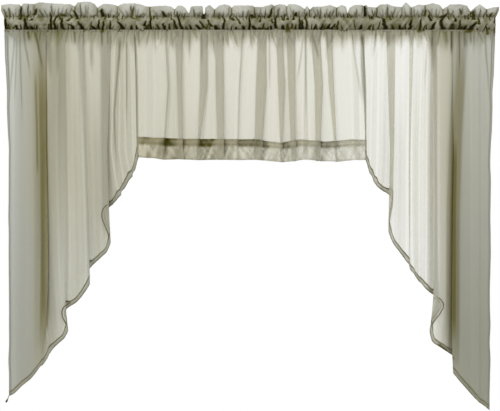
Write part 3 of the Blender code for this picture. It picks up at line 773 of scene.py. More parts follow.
def heading_grid(cloth):
    """The heading as one loop of cloth: up its back, over the ruffle's edge and down its front."""
    start, end = sorted((cloth.outer[0], cloth.inner[0]))
    x = np.linspace(start, end, cloth.columns)
    edge = read_table(RUFFLE_EDGE, x) + EDGE_WAVER * noise(x, 6.0, cloth.seed)
    ruffle = [mix(edge, UPPER_STITCH, share) for share in RUFFLE_SHARES]
    level = np.ones(len(x))
    pocket = [level * drop for drop in np.linspace(UPPER_STITCH, LOWER_STITCH + 0.3, POCKET_ROWS)]
    back_pocket = [level * drop for drop in np.linspace(UPPER_STITCH, LOWER_STITCH, BACK_POCKET_ROWS)]
    behind = back_pocket[::-1] + ruffle[:0:-2]
    front = ruffle[1:] + pocket
    drop = np.array(behind + [edge] + front)
    side = np.array([1.0] * len(behind) + [0.0] + [-1.0] * len(front))[:, None]

    # The tuft that each column lies in, and how full it bulges there
    ends = np.array(tuft_ends())
    number = np.clip(np.searchsorted(ends, x, "right") - 1, 0, len(ends) - 2)
    within = (x - ends[number]) / (ends[number + 1] - ends[number])
    bulge = np.clip(1.0 - np.abs(2.0 * within - 1.0) ** 3, 0.0, 1.0)
    offset = np.random.default_rng(cloth.seed).uniform(-TUFT_OFFSET, TUFT_OFFSET, len(ends))[number]

    # The ruffle sways and puffs out above the upper stitches, and the pocket stands round below them
    up = np.clip((UPPER_STITCH - drop) / (UPPER_STITCH - edge), 0.0, 1.0)
    pleats = noise(x + 3.0 * up, 12.0, cloth.seed + 1) + 0.8 * noise(x, 23.0, cloth.seed + 2)
    sway = (PLEAT_SWAY * pleats + offset * bulge) * up**0.7
    puff = RUFFLE_PUFF + TUFT_PUFF * bulge + 0.8 * noise(x, 9.0, cloth.seed + 5)
    puff = 1.0 + puff * np.sin(pi * np.minimum(up**1.2, 0.97))
    half = np.where(drop < UPPER_STITCH, puff, read_table(POCKET, drop))
    half = half * (1.0 + 0.15 * noise(x, 19.0, cloth.seed + 7))
    at_start = 1.0 - ease((x - start) / SEAM_REACH)
    at_end = 1.0 - ease((end - x) / SEAM_REACH)
    if cloth is VALANCE:
        half = half * (1.0 - 0.25 * (at_start + at_end))
    lapped = SEAM_OVERLAP * (at_end * (cloth is not RIGHT_SWAG) - at_start * (cloth is not LEFT_SWAG))
    ridge = np.exp(-(((drop - RIDGE_DROP) / RIDGE_WIDTH) ** 2))
    ridge = ridge * np.clip(0.35 + 0.9 * noise(x, 8.0, cloth.seed + 14), 0.0, 1.0)
    half = half + RIDGE_HEIGHT * ridge

    # Slits and fine gathers, pressed in through both layers only where these are stitched together
    slits = [c for c in HEADER_CREASES if start - 8.0 < c.path[0][0] < end + 8.0]
    slits += tuft_creases(cloth)
    slits += fine_gathers(cloth, UPPER_STITCH, reach_up=11.0, reach_down=9.0, darkest=0.85, widest=3.0)
    slits += fine_gathers(cloth, LOWER_STITCH, reach_up=19.0, reach_down=3.0, darkest=1.0, widest=3.6)
    back, dark, aside = pressed(slits, x, drop, SLITS)
    back = np.minimum(back, DEEPEST_SLIT)
    joined = 1.0 - np.clip((half - 1.0) / 5.0, 0.0, 1.0)
    back = np.where(side > 0.0, back * mix(-0.4, 1.0, joined), back)

    # The two layers lie on each side of the fall's section at the stitches
    seam_x, seam_y = seam_line(cloth)
    puffs = noise(x + 0.5 * drop, 9.0, cloth.seed + 15) + noise(x - 0.6 * drop, 7.0, cloth.seed + 16)
    puffs = puffs * (1.0 - joined) * np.where(up > 0.0, 0.5, 1.1)
    loose = np.clip((half - 1.0) / 2.0, 0.0, 1.0)
    puffs = puffs + 0.3 * noise(x + 0.35 * drop, 4.2, cloth.seed + 18) * loose
    y = np.interp(x, seam_x, seam_y) + sway + side * (half + puffs) + back - BACK_SHIFT
    flare = FLARE * ease((FLARE_END - drop) / FLARE_FADE) * ease((np.abs(x) - FLARE_FROM) / FLARE_REACH)
    place_x = x + 0.0 * drop + lapped + aside + np.sign(x) * flare
    walk = np.concatenate([[0.0], np.cumsum(np.abs(np.diff(drop.mean(axis=1))))])
    _, flat = even_places(cloth)
    across = (x - start) / (end - start) * flat[-1]

    # Painted shade and highlights: dark shade blots near the stitches, between the tufts and over the
    # pocket, and paler, thinner bulges and a paler ridge, painted as highlights
    shade_blots = 0.5 + 0.35 * noise(x + 0.8 * drop, 6.5, cloth.seed + 9)
    shade_blots = np.clip(shade_blots + 0.35 * noise(x - 0.7 * drop, 9.0, cloth.seed + 10), 0.0, 1.0)
    near_stitch = 1.0 - ease(np.abs(drop - UPPER_STITCH) / np.where(drop < UPPER_STITCH, 11.0, 6.0))
    shade = 0.02 + 0.06 * noise(x, 31.0, cloth.seed + 17)
    shade = shade + 0.3 * (1.0 - bulge) * shade_blots
    tone = np.maximum(0.5 * near_stitch * shade_blots, np.where(up > 0.0, shade, 0.14 + 0.28 * shade_blots))
    dark = np.maximum(dark, tone) * (1.0 - 0.35 * ridge)
    full = mix(1.0, mix(0.85, 0.0, bulge), ease(up * 1.6))
    cool = np.where(up > 0.0, 0.1 + 0.6 * ease(up * 1.5) * bulge, 0.3 * ridge)
    return assembled(place_x, y, drop, across, walk[:, None], (dark, full, cool, FAR))


def seam_line(cloth):
    """The middle of the section at the lower stitches, with x rising."""
    places, _ = even_places(cloth)
    x, y = smooth_read(*section_keys(cloth, np.full((1, len(places)), PANEL_TOP)), places)
    order = np.argsort(x[0])
    return x[0][order], smoothed(y[0][order], 12)


def assembled(x, y, drop, across, along, attributes):
    """A sheet's grid with all its channels. Its back vectors point away from its outer face."""
    shape = np.broadcast(x, y, drop).shape
    grid = np.zeros((*shape, CHANNELS))
    grid[..., 0] = x
    grid[..., 1] = y
    grid[..., 2] = -drop
    grid[..., 6] = across
    grid[..., 7] = along
    for (_, channel), values in zip(ATTRIBUTES, attributes):
        grid[..., channel] = values
    to_right = np.gradient(grid[..., PLACE], axis=1)
    down = np.gradient(grid[..., PLACE], axis=0)
    back = np.cross(to_right, down)
    grid[..., BACK] = back / np.maximum(np.linalg.norm(back, axis=2, keepdims=True), 1e-9)
    return grid


def folded_under(grid, count, gap, roll):
    """Turns a hem under the grid's last rows: a rolled edge, then rows that run back behind the cloth."""
    last, before = grid[-1], grid[-2]
    outward = last[:, PLACE] - before[:, PLACE]
    outward /= np.maximum(np.linalg.norm(outward, axis=1, keepdims=True), 1e-9)
    edge = last.copy()
    edge[:, PLACE] += roll * outward + 0.5 * gap * last[:, BACK]
    rows = grid[-1 - count : -1][::-1].copy()
    rows[..., PLACE] += gap * rows[..., BACK]
    rows[..., FLAT] = 2.0 * last[:, FLAT] - rows[..., FLAT]
    return np.concatenate([grid, edge[None], rows])


def side_columns(cloth):
    """The columns that turn under at the left and the right: fewer where one cloth meets the next one."""
    if cloth is VALANCE:
        return SEAM_HEM_COLUMNS, SEAM_HEM_COLUMNS
    return (SIDE_HEM_COLUMNS, SEAM_HEM_COLUMNS)[:: cloth.inward]


def folded_sides(cloth, grid, gap, roll):
    """Turns a narrow hem under both sides of a grid."""
    turned = np.swapaxes(grid, 0, 1)
    for count in side_columns(cloth)[::-1]:
        turned = folded_under(turned, count, gap, roll)[::-1]
    return np.swapaxes(turned, 0, 1)


# Rows of the falls, in mm below the stitches, and how much closer they stand towards the hem
NECK_ROWS = (-4.0, -1.0) + tuple(range(2, 50, 4)) + (56, 64, 73, 84)
CLOSER_ROWS = 0.7

# Rows of the hems, as shares of the hem's height, and how dark each of them and each column of a side hem is
SWAG_HEM_SHARES = (0.06, 0.2, 0.34, 0.8, 1.0)
SWAG_HEM_DARK = (0.02, 0.44, 0.40, 0.0, 0.10, 0.40)
VALANCE_HEM_SHARES = (0.14, 0.28, 0.42, 0.56, 0.7, 0.85, 1.0)
VALANCE_TURNED_ROWS = 2
SIDE_HEM_COLUMNS = 5
SEAM_HEM_COLUMNS = 2
SIDE_HEM_DARK = (0.3, 0.12, 0.08, 0.08, 0.26, 0.26)
SEAM_DARK = 0.18

# How far the gathers under the stitches reach down, and how full they are
GATHER_REACH = 52.0
GATHER_FULLNESS = 0.9

# How dark the painted shade of the falls' creases, shades and slits is drawn, as shares of their own
# darkness
CREASE_TONE = 0.5
SHADE_TONE = 0.72
SLIT_TONE = 0.6

# Heights of the falls' fine and broad ripples
FINE_RIPPLE = 0.12
BROAD_RIPPLE = 1.6

# Where the full cloth of the outer folds turns edge on, it is drawn thinner, so that no hard line shows
EDGE_ON_FROM = 0.7
EDGE_THINNING = 1.8

# Painted shade: how much browner the deep folds, which lie further out than this (mm), are painted with
# their shade
WARMTH = 3.0
WARM_FROM = 400.0


def panel_grid(cloth, hem_height, hem_shares, rows):
    """The hanging part of a cloth, from inside its stitches to its hem's edge."""
    places, flat = even_places(cloth)
    hem = smoothed(np.interp(places, np.arange(len(hem_keys(cloth))), hem_keys(cloth)), 7)
    slope = np.gradient(hem) / np.gradient(flat)
    height = hem_height(cloth, places, hem) * np.minimum(np.hypot(1.0, slope), 3.0)
    level = np.ones(len(places))
    first = PANEL_TOP + NECK_ROWS[-1]
    neck = [level * (PANEL_TOP + length) for length in NECK_ROWS]
    steps = np.arange(1, rows + 1) / rows
    steps = steps + CLOSER_ROWS * steps * (1.0 - steps)
    body = [mix(first, hem - height, step) for step in steps]
    band = [hem - height * (1.0 - share) for share in hem_shares]
    drop = np.array(neck + body + band)

    # Folds, with their creases, slits and shades
    x, y = smooth_read(*section_keys(cloth, drop), places)
    start, end = sorted((cloth.outer[0], cloth.inner[0]))
    inside = [c for c in FALL_CREASES if start - 6.0 < c.path[-1][0] < end + 6.0]
    inside += fine_gathers(cloth, LOWER_STITCH, reach_up=6.0, reach_down=46.0, darkest=0.3, widest=3.6)
    back, dark, aside = pressed(inside, x, drop, SOFT_CREASES)
    slits = [crease for crease in HEADER_CREASES if crease.path[0][1] > LOWER_STITCH + 1.5]
    _, slit, _ = pressed(slits, x, drop, SLITS)
    _, shade, _ = pressed(DEEP_SHADES, x, drop, SHADES)
    dark = np.maximum(np.maximum(CREASE_TONE * dark, SHADE_TONE * shade), SLIT_TONE * slit)

    # Ripples between the folds, weaker where the cloth hangs thin
    settled = ease((drop - PANEL_TOP) / 60.0)
    drift = flat + 7.0 * noise(drop, 190.0, cloth.seed + 8) * settled
    ripple = FINE_RIPPLE * noise(drift, 14.0, cloth.seed + 3)
    ripple = ripple + BROAD_RIPPLE * noise(drift, 37.0, cloth.seed + 4)
    full = read_table(FULLNESS, x)
    ripple = ripple * np.clip(1.0 + 0.4 * full, 0.3, 1.0)
    y = y + 0.8 * np.minimum(back, 5.0) - BACK_SHIFT * (1.0 - settled) + ripple * settled

    # Sides, which lap over the next cloth at a seam and waver where they hang free
    outer_side, inner_side = x[:, :1], x[:, -1:]
    at_outer = 1.0 - ease(np.abs(x - outer_side) / SEAM_REACH)
    at_inner = 1.0 - ease(np.abs(x - inner_side) / SEAM_REACH)
    out = SEAM_OVERLAP * settled * cloth.inward
    if cloth is VALANCE:
        x = x + out * (at_inner - at_outer)
        y = y + SEAM_BACK * settled * (at_inner + at_outer)
    else:
        at_side = 1.0 - ease(np.abs(x - outer_side) / 40.0)
        x = x + out * at_inner + 1.2 * settled * at_side * noise(drop, 43.0, cloth.seed + 12)
    x = x + aside

    # How full, dark and cool each point is, with painted shade from the dimness table and under the
    # stitches' gathers, and how far from a turned-back hem
    uneven = 1.0 + 0.35 * noise(flat, 11.0, cloth.seed + 6)
    gather = 1.0 - ease((drop - PANEL_TOP + 4.0) / (GATHER_REACH * uneven))
    full = full + 0.04 * noise(drift, 21.0, cloth.seed + 9)
    full = mix(full, np.maximum(full, GATHER_FULLNESS), gather)
    across, deep = np.gradient(x, axis=1), np.gradient(y, axis=1)
    edge_on = ease((np.abs(deep) / np.hypot(across, deep) - EDGE_ON_FROM) / (1.0 - EDGE_ON_FROM))
    full = full - EDGE_THINNING * edge_on * np.clip(2.0 * full - 1.0, 0.0, 1.0)
    lower = np.clip((drop - 150.0) / 650.0, 0.0, 1.0)
    dim = mix(read_table(DIMNESS, x), read_table(DIMNESS, x, 2), lower)
    dark = dark * (1.0 - dim) + dim + 0.2 * gather * (1.0 - dark)
    cool = read_table(COOLNESS, x) + 0.35 * ease((drop - 430.0) / 200.0)
    # Painted shade: the deep folds' shade also browns them
    cool = cool - WARMTH * shade * (np.abs(x) > WARM_FROM)
    line = cloth.inward * line_distance(x, drop)
    if cloth.inward < 0:
        x, y, drop, dark, full, cool, line = (v[:, ::-1] for v in (x, y, drop, dark, full, cool, line))
    return assembled(x, y, drop, flat, drop - PANEL_TOP, (dark, full, cool, line))


def mark_hems(cloth, grid, hem_dark):
    """Darkens the stitched edges of a cloth's hem and its side hems, where it lies double."""
    for row, dark in zip(grid[-len(hem_dark) :], hem_dark):
        row[:, SHADE_AND_STITCHING] = np.maximum(row[:, SHADE_AND_STITCHING], dark)
        row[:, FULL] = mix(row[:, FULL], 0.5, 0.5)
        row[:, COOL] = 0.3
    seam = grid[:, :: -cloth.inward][:, : SEAM_HEM_COLUMNS + 1]
    seam[..., SHADE_AND_STITCHING] = np.maximum(seam[..., SHADE_AND_STITCHING], SEAM_DARK)
    if cloth is not VALANCE:
        side = grid[:, :: cloth.inward][:, : SIDE_HEM_COLUMNS + 1]
        side[..., SHADE_AND_STITCHING] = np.maximum(side[..., SHADE_AND_STITCHING], SIDE_HEM_DARK)
        side[..., FULL] = np.maximum(side[..., FULL], 0.5)
    return grid


def swag_hem_height(cloth, places, hem):
    return np.full(len(places), settings().swag_hem / MM)


def valance_hem_height(cloth, places, hem):
    x, _ = smooth_read(*section_keys(cloth, hem[None, :]), places)
    return hem - smoothed(read_table(VALANCE_HEM_TOP, x[0]), 8)


# The turned strip at the top of the valance's hem, and how far its stitch lines' shadows reach
STRIP_HEIGHT = 14.0
STITCH_REACH = 1.8


def hem_finish(grid, first):
    """Gives the valance's doubled hem its crinkles, its paler band and the shadows on its turned strip."""
    rng = np.random.default_rng(VALANCE.seed)
    rows = grid[first:]
    x, drop = rows[..., 0].copy(), -rows[..., 2]
    shake = rng.normal(0.0, 1.0, rows.shape[:2])
    shake = (shake + np.roll(shake, 1, axis=1) + np.roll(shake, -1, axis=1)) / 3.0
    crumple = noise(x + 1.3 * drop, 9.0, VALANCE.seed + 2) + noise(x - 0.9 * drop, 13.0, VALANCE.seed + 3)
    rows[..., PLACE] += (0.3 * shake + 0.6 * crumple)[..., None] * rows[..., BACK]

    # The turned strip, its shadows, and the patches of the doubled cloth
    below_top = drop - read_table(VALANCE_HEM_TOP, x)
    strip = 1.0 - ease((below_top - STRIP_HEIGHT) / 3.0)
    wavering = x + 4.0 * noise(drop, 6.0, VALANCE.seed + 4) + 5.0 * noise(x, 11.0, VALANCE.seed + 5)
    spans = [(wavering - span.start, span.end - wavering) for span in HEM_SHADOWS]
    shadow = sum(ease(left / 14.0 + 0.5) * ease(right / 14.0 + 0.5) for left, right in spans)
    patches = 0.5 + 0.5 * noise(x + 0.4 * drop, 7.0, VALANCE.seed + 1)
    patches = np.clip(patches + 0.4 * noise(x - 0.8 * drop, 5.0, VALANCE.seed + 6), 0.0, 1.0)
    line = np.exp(-(((below_top - 1.0) / STITCH_REACH) ** 2))
    line = line + 0.7 * np.exp(-(((below_top - STRIP_HEIGHT) / STITCH_REACH) ** 2))
    to_right = ease((x + 270.0) / 550.0)
    shadow = shadow * (1.0 - 0.6 * to_right)
    dark = strip * (0.11 * (1.0 - to_right) + shadow * (0.16 + 0.36 * patches**2))
    dark = dark + line * (0.16 + 0.12 * shadow)
    dark = dark + 0.18 * (1.0 - strip) * patches**2 * (0.7 + shadow) * (1.0 - 0.5 * to_right)
    rows[..., SHADE_AND_STITCHING] = np.maximum(rows[..., SHADE_AND_STITCHING], dark)
    rows[..., FULL] = mix(-0.5 + 0.8 * patches, 0.2, strip) - 1.0 * to_right
    rows[..., COOL] = mix(0.2, 0.0, strip) - mix(0.4, 0.6, strip) * (1.0 - to_right)
    return grid


def add_sheet(name, grid):
    """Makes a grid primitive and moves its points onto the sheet."""
    rows, columns = grid.shape[:2]
    bpy.ops.object.select_all(action="DESELECT")
    bpy.ops.mesh.primitive_grid_add(x_subdivisions=columns - 1, y_subdivisions=rows - 1, size=2.0)
    obj = bpy.context.object
    obj.name = obj.data.name = name
    mesh = obj.data
    start = np.empty(len(mesh.vertices) * 3)
    mesh.vertices.foreach_get("co", start)
    start = start.reshape(-1, 3)
    column = np.rint((start[:, 0] + 1.0) / 2.0 * (columns - 1)).astype(int)
    row = np.rint((1.0 - start[:, 1]) / 2.0 * (rows - 1)).astype(int)
    if len(start) != rows * columns or len(set(zip(row, column))) != rows * columns:
        raise RuntimeError(f"{name}: the grid primitive has {len(start)} points, not {rows} by {columns}")
    points = grid[row, column]
    mesh.vertices.foreach_set("co", (points[:, PLACE] * MM).ravel())
    for label, channel in ATTRIBUTES:
        attribute = mesh.attributes.new(label, "FLOAT", "POINT")
        attribute.data.foreach_set("value", points[:, channel].astype(np.float32))
    corner = np.empty(len(mesh.loops), dtype=int)
    mesh.loops.foreach_get("vertex_index", corner)
    layer = mesh.uv_layers[0] if mesh.uv_layers else mesh.uv_layers.new(name="UVMap")
    layer.data.foreach_set("uv", (points[corner][:, FLAT] * MM).ravel())
    mesh.update()
    bpy.ops.object.shade_smooth()
    solid = obj.modifiers.new("Voile", "SOLIDIFY")
    solid.thickness = settings().thickness
    solid.offset = 0.0
    bpy.ops.object.modifier_apply(modifier=solid.name)
    return obj


def finish_sheet(obj, node, material):
    """Gives a sheet its material, and puts it in place of its solid."""
    obj.data.materials.append(material)
    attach(obj, "root")
    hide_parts(node)


# How many sides the tail has, and how far it twists from ring to ring (radians)
TAIL_SIDES = 10
TAIL_TWIST = 0.5


def add_tail(material):
    """The twisted tail of hem thread, extruded ring by ring from a circle."""
    first = TAIL[0]
    bpy.ops.object.select_all(action="DESELECT")
    bpy.ops.mesh.primitive_circle_add(
        vertices=TAIL_SIDES,
        radius=first.radius * MM,
        fill_type="NGON",
        location=(first.x * MM, 0.0, -first.drop * MM),
    )
    obj = bpy.context.object
    obj.name = obj.data.name = "left_swag_thread_tail"
    bpy.ops.object.transform_apply(location=True, rotation=True, scale=True)
    bpy.ops.object.mode_set(mode="EDIT")
    bpy.ops.mesh.select_all(action="SELECT")
    for above, ring in zip(TAIL, TAIL[1:]):
        step = ((ring.x - above.x) * MM, 0.0, (above.drop - ring.drop) * MM)
        centre = (ring.x * MM, 0.0, -ring.drop * MM)
        bpy.ops.mesh.extrude_region_move(TRANSFORM_OT_translate={"value": step})
        bpy.ops.transform.resize(value=(ring.radius / above.radius,) * 3, center_override=centre)
        bpy.ops.transform.rotate(value=TAIL_TWIST, orient_axis="Z", center_override=centre)
    bpy.ops.mesh.select_all(action="SELECT")
    bpy.ops.mesh.normals_make_consistent(inside=False)
    bpy.ops.object.mode_set(mode="OBJECT")
    bpy.ops.object.shade_smooth()
    rounding = obj.modifiers.new("Rounding", "SUBSURF")
    rounding.levels = rounding.render_levels = 1
    bpy.ops.object.modifier_apply(modifier=rounding.name)
    bulb = -TAIL[3].drop * MM
    heights = [vertex.co.z for vertex in obj.data.vertices]
    for label, values in (
        ("shade_and_stitching", [0.72 if height < bulb else 0.25 for height in heights]),
        ("full", [1.1] * len(heights)),
        ("cool", [0.6] * len(heights)),
        ("line", [FAR] * len(heights)),
    ):
        attribute = obj.data.attributes.new(label, "FLOAT", "POINT")
        attribute.data.foreach_set("value", values)
    obj.data.materials.append(material)
    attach(obj, "root")
    return obj


def operators(operation):
    """A Python operator that adds a Math node, and its reflected form."""

    def forward(self, other):
        return self.tree.maths(operation, self, other)

    def reflected(self, other):
        return self.tree.maths(operation, other, self)

    return forward, reflected


class Maths:
    """A shader socket with Python's operators."""

    def __init__(self, tree, socket):
        self.tree = tree
        self.socket = socket

    __add__, __radd__ = operators("ADD")
    __sub__, __rsub__ = operators("SUBTRACT")
    __mul__, __rmul__ = operators("MULTIPLY")
    __truediv__, __rtruediv__ = operators("DIVIDE")
    __pow__, __rpow__ = operators("POWER")


class Tree:
    """The nodes of a material or a world."""

    def __init__(self, block):
        self.block = block
        block.use_nodes = True
        block.node_tree.nodes.clear()

    def node(self, kind, inputs=None, **options):
        """Adds a node of a type, with its settings first and then the values or links of its sockets."""
        made = self.block.node_tree.nodes.new(kind)
        for key, value in options.items():
            setattr(made, key, value)
        for key, value in (inputs or {}).items():
            socket = made.inputs[key]
            if isinstance(value, Maths):
                value = value.socket
            if isinstance(value, bpy.types.NodeSocket):
                self.block.node_tree.links.new(value, socket)
            else:
                socket.default_value = value
        return made

    def maths(self, operation, *values):
        made = self.node("ShaderNodeMath", dict(enumerate(values)), operation=operation)
        return Maths(self, made.outputs[0])

    def clamped(self, value):
        made = self.node("ShaderNodeMath", {0: value, 1: 0.0}, operation="ADD", use_clamp=True)
        return Maths(self, made.outputs[0])

    def blend(self, share, start, end):
        """The socket of a colour between two, each a colour or a socket."""
        ends = [end if isinstance(end, bpy.types.NodeSocket) else (*end, 1.0) for end in (start, end)]
        made = self.node("ShaderNodeMix", {0: share, 6: ends[0], 7: ends[1]}, data_type="RGBA")
        return made.outputs[2]

    def value(self, node, output=0):
        return Maths(self, node.outputs[output])

    def attribute(self, name):
        return self.value(self.node("ShaderNodeAttribute", attribute_name=name), 2)

    def finish(self, shader, output="ShaderNodeOutputMaterial"):
        self.node(output, {"Surface": shader.outputs[0]})
        return self.block


def voile_material(name):
    """Sheer woven voile: threads over gaps that show what is behind, denser where it turns edge on."""
    look = settings()
    tree = Tree(bpy.data.materials.new(name))
    uv = tree.node("ShaderNodeUVMap", uv_map="UVMap").outputs[0]

    # The weave, with uneven threads along the warp
    split = tree.node("ShaderNodeSeparateXYZ", {0: uv})
    wave = pi / look.thread_pitch
    warp = tree.maths("ABSOLUTE", tree.maths("SINE", tree.value(split, 0) * wave))
    weft = tree.maths("ABSOLUTE", tree.maths("SINE", tree.value(split, 1) * wave))
    weave = tree.maths("MAXIMUM", warp, weft)
    stretched = tree.node("ShaderNodeVectorMath", {0: uv, 1: (420.0, 9.0, 1.0)}, operation="MULTIPLY")
    slubs = tree.node("ShaderNodeTexNoise", {"Vector": stretched.outputs[0], "Scale": 1.0, "Detail": 2.0})
    slub = tree.value(slubs)

    # The stitch lines of turned-back hems darken the cloth
    # The first attribute is the painted shade, with the darker stitched hems
    shade_and_stitching, full, cool, line = (tree.attribute(label) for label, _ in ATTRIBUTES)
    for offset, dark in HEM_LINE_PAIR:
        near_line = tree.clamped(1.6 - 0.8 * tree.maths("ABSOLUTE", line - offset))
        shade_and_stitching = tree.maths("MAXIMUM", shade_and_stitching, dark * near_line)

    # How much the threads cover: the sheet's two faces each let half the gaps' light through
    facing = tree.value(tree.node("ShaderNodeLayerWeight", {"Blend": 0.5}), 1)
    square_on = tree.maths("MAXIMUM", 1.0 - facing, 0.6)
    slit = tree.clamped(2.0 * shade_and_stitching - 1.0)
    covering = look.cover + (look.gathered_cover - look.cover) * full
    covering = tree.maths("MAXIMUM", covering, 0.1) + 0.5 * shade_and_stitching
    gaps = tree.maths("MAXIMUM", 1.0 - covering, 0.01)
    one_side = gaps ** (0.5 / square_on)
    uneven = 0.86 + 0.18 * weave + 0.02 * (slub - 0.5)
    covered = tree.clamped((1.0 - one_side) * uneven + slit)

    # Colour, from the pale or warm thread through the folds' painted olive shade to a slit's painted black
    # shade
    pale = tree.blend(tree.clamped(cool), look.thread_colour, look.cool_colour)
    warmed = tree.blend(tree.clamped(-1.0 * cool), pale, look.warm_colour)
    shaded = tree.blend(tree.clamped(2.0 * shade_and_stitching), warmed, look.olive_colour)
    colour = tree.blend(slit, shaded, look.slit_colour)
    bump = tree.node("ShaderNodeBump", {"Height": weave, "Strength": 0.25, "Distance": 0.0001})
    threads = tree.node(
        "ShaderNodeBsdfPrincipled",
        {"Base Color": colour, "Roughness": 0.78, "Specular IOR Level": 0.3, "Normal": bump.outputs[0]},
    )
    glow = tree.node("ShaderNodeBsdfTranslucent", {"Color": colour})
    lit = tree.node("ShaderNodeMixShader", {0: 0.4, 1: threads.outputs[0], 2: glow.outputs[0]})
    clear = tree.node("ShaderNodeBsdfTransparent")
    shader = tree.node("ShaderNodeMixShader", {0: covered, 1: clear.outputs[0], 2: lit.outputs[0]})
    return tree.finish(shader)


def floor_material(colour):
    """The floor's matt paint, with a faint unevenness."""
    tree = Tree(bpy.data.materials.new("floor paint"))
    coordinates = tree.node("ShaderNodeTexCoord")
    patches = tree.node("ShaderNodeTexNoise", {"Vector": coordinates.outputs["Object"], "Scale": 6.0})
    tone = tree.blend(patches.outputs[0], colour, [0.96 * share for share in colour])
    return tree.finish(tree.node("ShaderNodeBsdfPrincipled", {"Base Color": tone, "Roughness": 0.7}))


class SHEER_OT_headings(bpy.types.Operator):
    """Builds the three ruffled headers with their rod pockets."""

    bl_idname = "sheer.headings"
    bl_label = "Gathered headings"

    def execute(self, context):
        material = voile_material("gathered voile")
        for cloth in (LEFT_SWAG, VALANCE, RIGHT_SWAG):
            grid = folded_sides(cloth, heading_grid(cloth), settings().hem_gap / MM, 0.3)
            obj = add_sheet(f"{cloth.name}_header", grid)
            finish_sheet(obj, f"{cloth.name}_heading", material)
        return {"FINISHED"}


class SHEER_OT_swags(bpy.types.Operator):
    """Builds the hanging cloth of the two swags, with their rolled diagonal hems."""

    bl_idname = "sheer.swags"
    bl_label = "Swags"

    def execute(self, context):
        gap = settings().hem_gap / MM
        material = voile_material("sheer voile of the swags")
        tail = add_tail(material)
        for cloth, pieces in ((LEFT_SWAG, [tail]), (RIGHT_SWAG, [])):
            grid = panel_grid(cloth, swag_hem_height, SWAG_HEM_SHARES, settings().rows)
            grid = mark_hems(cloth, grid, SWAG_HEM_DARK)
            grid = folded_under(grid, len(SWAG_HEM_SHARES), gap, 0.5)
            grid = folded_sides(cloth, grid, gap, 0.3)
            obj = add_sheet(f"{cloth.name}_fall", grid)
            finish_sheet(obj, f"{cloth.name}_panel", material)
        return {"FINISHED"}


class SHEER_OT_valance(bpy.types.Operator):
    """Builds the hanging cloth of the middle valance, with its deep doubled hem."""

    bl_idname = "sheer.valance"
    bl_label = "Valance"

    def execute(self, context):
        gap = settings().hem_gap / MM
        material = voile_material("sheer voile of the valance")
        grid = panel_grid(VALANCE, valance_hem_height, VALANCE_HEM_SHARES, settings().rows // 2)
        first = len(grid) - len(VALANCE_HEM_SHARES) - 1
        grid = folded_under(grid, len(VALANCE_HEM_SHARES), gap, 0.4)
        grid = folded_under(grid, VALANCE_TURNED_ROWS, -0.5 * gap, 0.2)
        grid = hem_finish(grid, first)
        grid = folded_sides(VALANCE, grid, gap, 0.3)
        obj = add_sheet("valance_fall", grid)
        finish_sheet(obj, "valance_panel", material)
        return {"FINISHED"}


# The picture: its width at the cloth, and how far its middle lies below the top edge (m)
PICTURE_WIDTH = 1.2
PICTURE_MIDDLE = 0.4884

FLOOR_RADIUS = 1.15
FLOOR_COLOUR = (0.8, 0.8, 0.78)


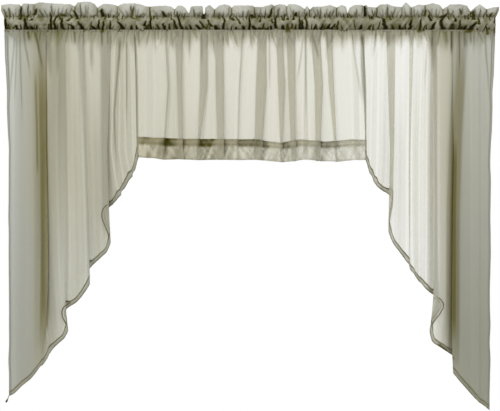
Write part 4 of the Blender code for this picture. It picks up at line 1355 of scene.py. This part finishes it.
class SHEER_OT_stage(bpy.types.Operator):
    """Adds the floor, the lights, the white surroundings and the camera."""

    bl_idname = "sheer.stage"
    bl_label = "Stage"

    def execute(self, context):
        look = settings()
        scene = context.scene
        scene.view_settings.view_transform = "Standard"
        scene.cycles.transparent_max_bounces = 64
        scene.cycles.max_bounces = 12

        bpy.ops.object.select_all(action="DESELECT")
        bpy.ops.mesh.primitive_circle_add(vertices=96, radius=FLOOR_RADIUS, fill_type="TRIFAN")
        floor = context.object
        floor.name = "floor"
        for vertex in floor.data.vertices:
            vertex.co.z -= look.floor_drop
        floor.data.materials.append(floor_material(FLOOR_COLOUR))

        tree = Tree(bpy.data.worlds.new("studio"))
        seen = tree.node("ShaderNodeLightPath").outputs["Is Camera Ray"]
        strength = tree.node("ShaderNodeMix", {0: seen, 2: look.surroundings, 3: 1.0})
        white = tree.node("ShaderNodeBackground", {0: (1.0, 1.0, 1.0, 1.0), 1: strength.outputs[0]})
        scene.world = tree.finish(white, "ShaderNodeOutputWorld")

        centre = Vector((0.0, 0.0, -PICTURE_MIDDLE))
        for name, place, size, power in (
            ("key light", (-0.9, -1.9, 1.6), 1.0, look.key_power),
            ("fill light", (1.9, -1.3, 0.2), 1.4, look.fill_power),
            ("back light", (0.3, 2.4, -0.1), 1.8, look.back_power),
        ):
            data = bpy.data.lights.new(name, "AREA")
            data.size = size
            data.energy = power
            light = bpy.data.objects.new(name, data)
            light.location = place
            light.rotation_euler = (centre - Vector(place)).to_track_quat("-Z", "Y").to_euler()
            light.visible_camera = False
            scene.collection.objects.link(light)

        data = bpy.data.cameras.new("camera")
        data.sensor_width = 36.0
        data.angle = 2.0 * atan(PICTURE_WIDTH / 2.0 / look.view_distance)
        camera = bpy.data.objects.new("camera", data)
        camera.location = (0.0, -look.view_distance, -PICTURE_MIDDLE)
        camera.rotation_euler = (pi / 2.0, 0.0, 0.0)
        scene.collection.objects.link(camera)
        scene.camera = camera
        return {"FINISHED"}


class SHEER_PT_set(bpy.types.Panel):
    """Lists the set's settings and the steps that build it."""

    bl_label = "Sheer set"
    bl_idname = "SHEER_PT_set"
    bl_space_type = "VIEW_3D"
    bl_region_type = "UI"
    bl_category = "Sheer set"

    def draw(self, context):
        for name in SheerSettings.__annotations__:
            self.layout.prop(context.scene.sheer_set, name)
        for step in STEPS:
            self.layout.operator(step.bl_idname)


STEPS = (SHEER_OT_stage, SHEER_OT_headings, SHEER_OT_swags, SHEER_OT_valance)
CLASSES = (SheerSettings, *STEPS, SHEER_PT_set)


def register():
    for cls in CLASSES:
        bpy.utils.register_class(cls)
    bpy.types.Scene.sheer_set = PointerProperty(type=SheerSettings)


def unregister():
    del bpy.types.Scene.sheer_set
    for cls in reversed(CLASSES):
        bpy.utils.unregister_class(cls)


def main():
    register()
    bpy.ops.sheer.stage()
    bpy.ops.sheer.headings()
    bpy.ops.sheer.swags()
    bpy.ops.sheer.valance()


if __name__ == "__main__":
    main()
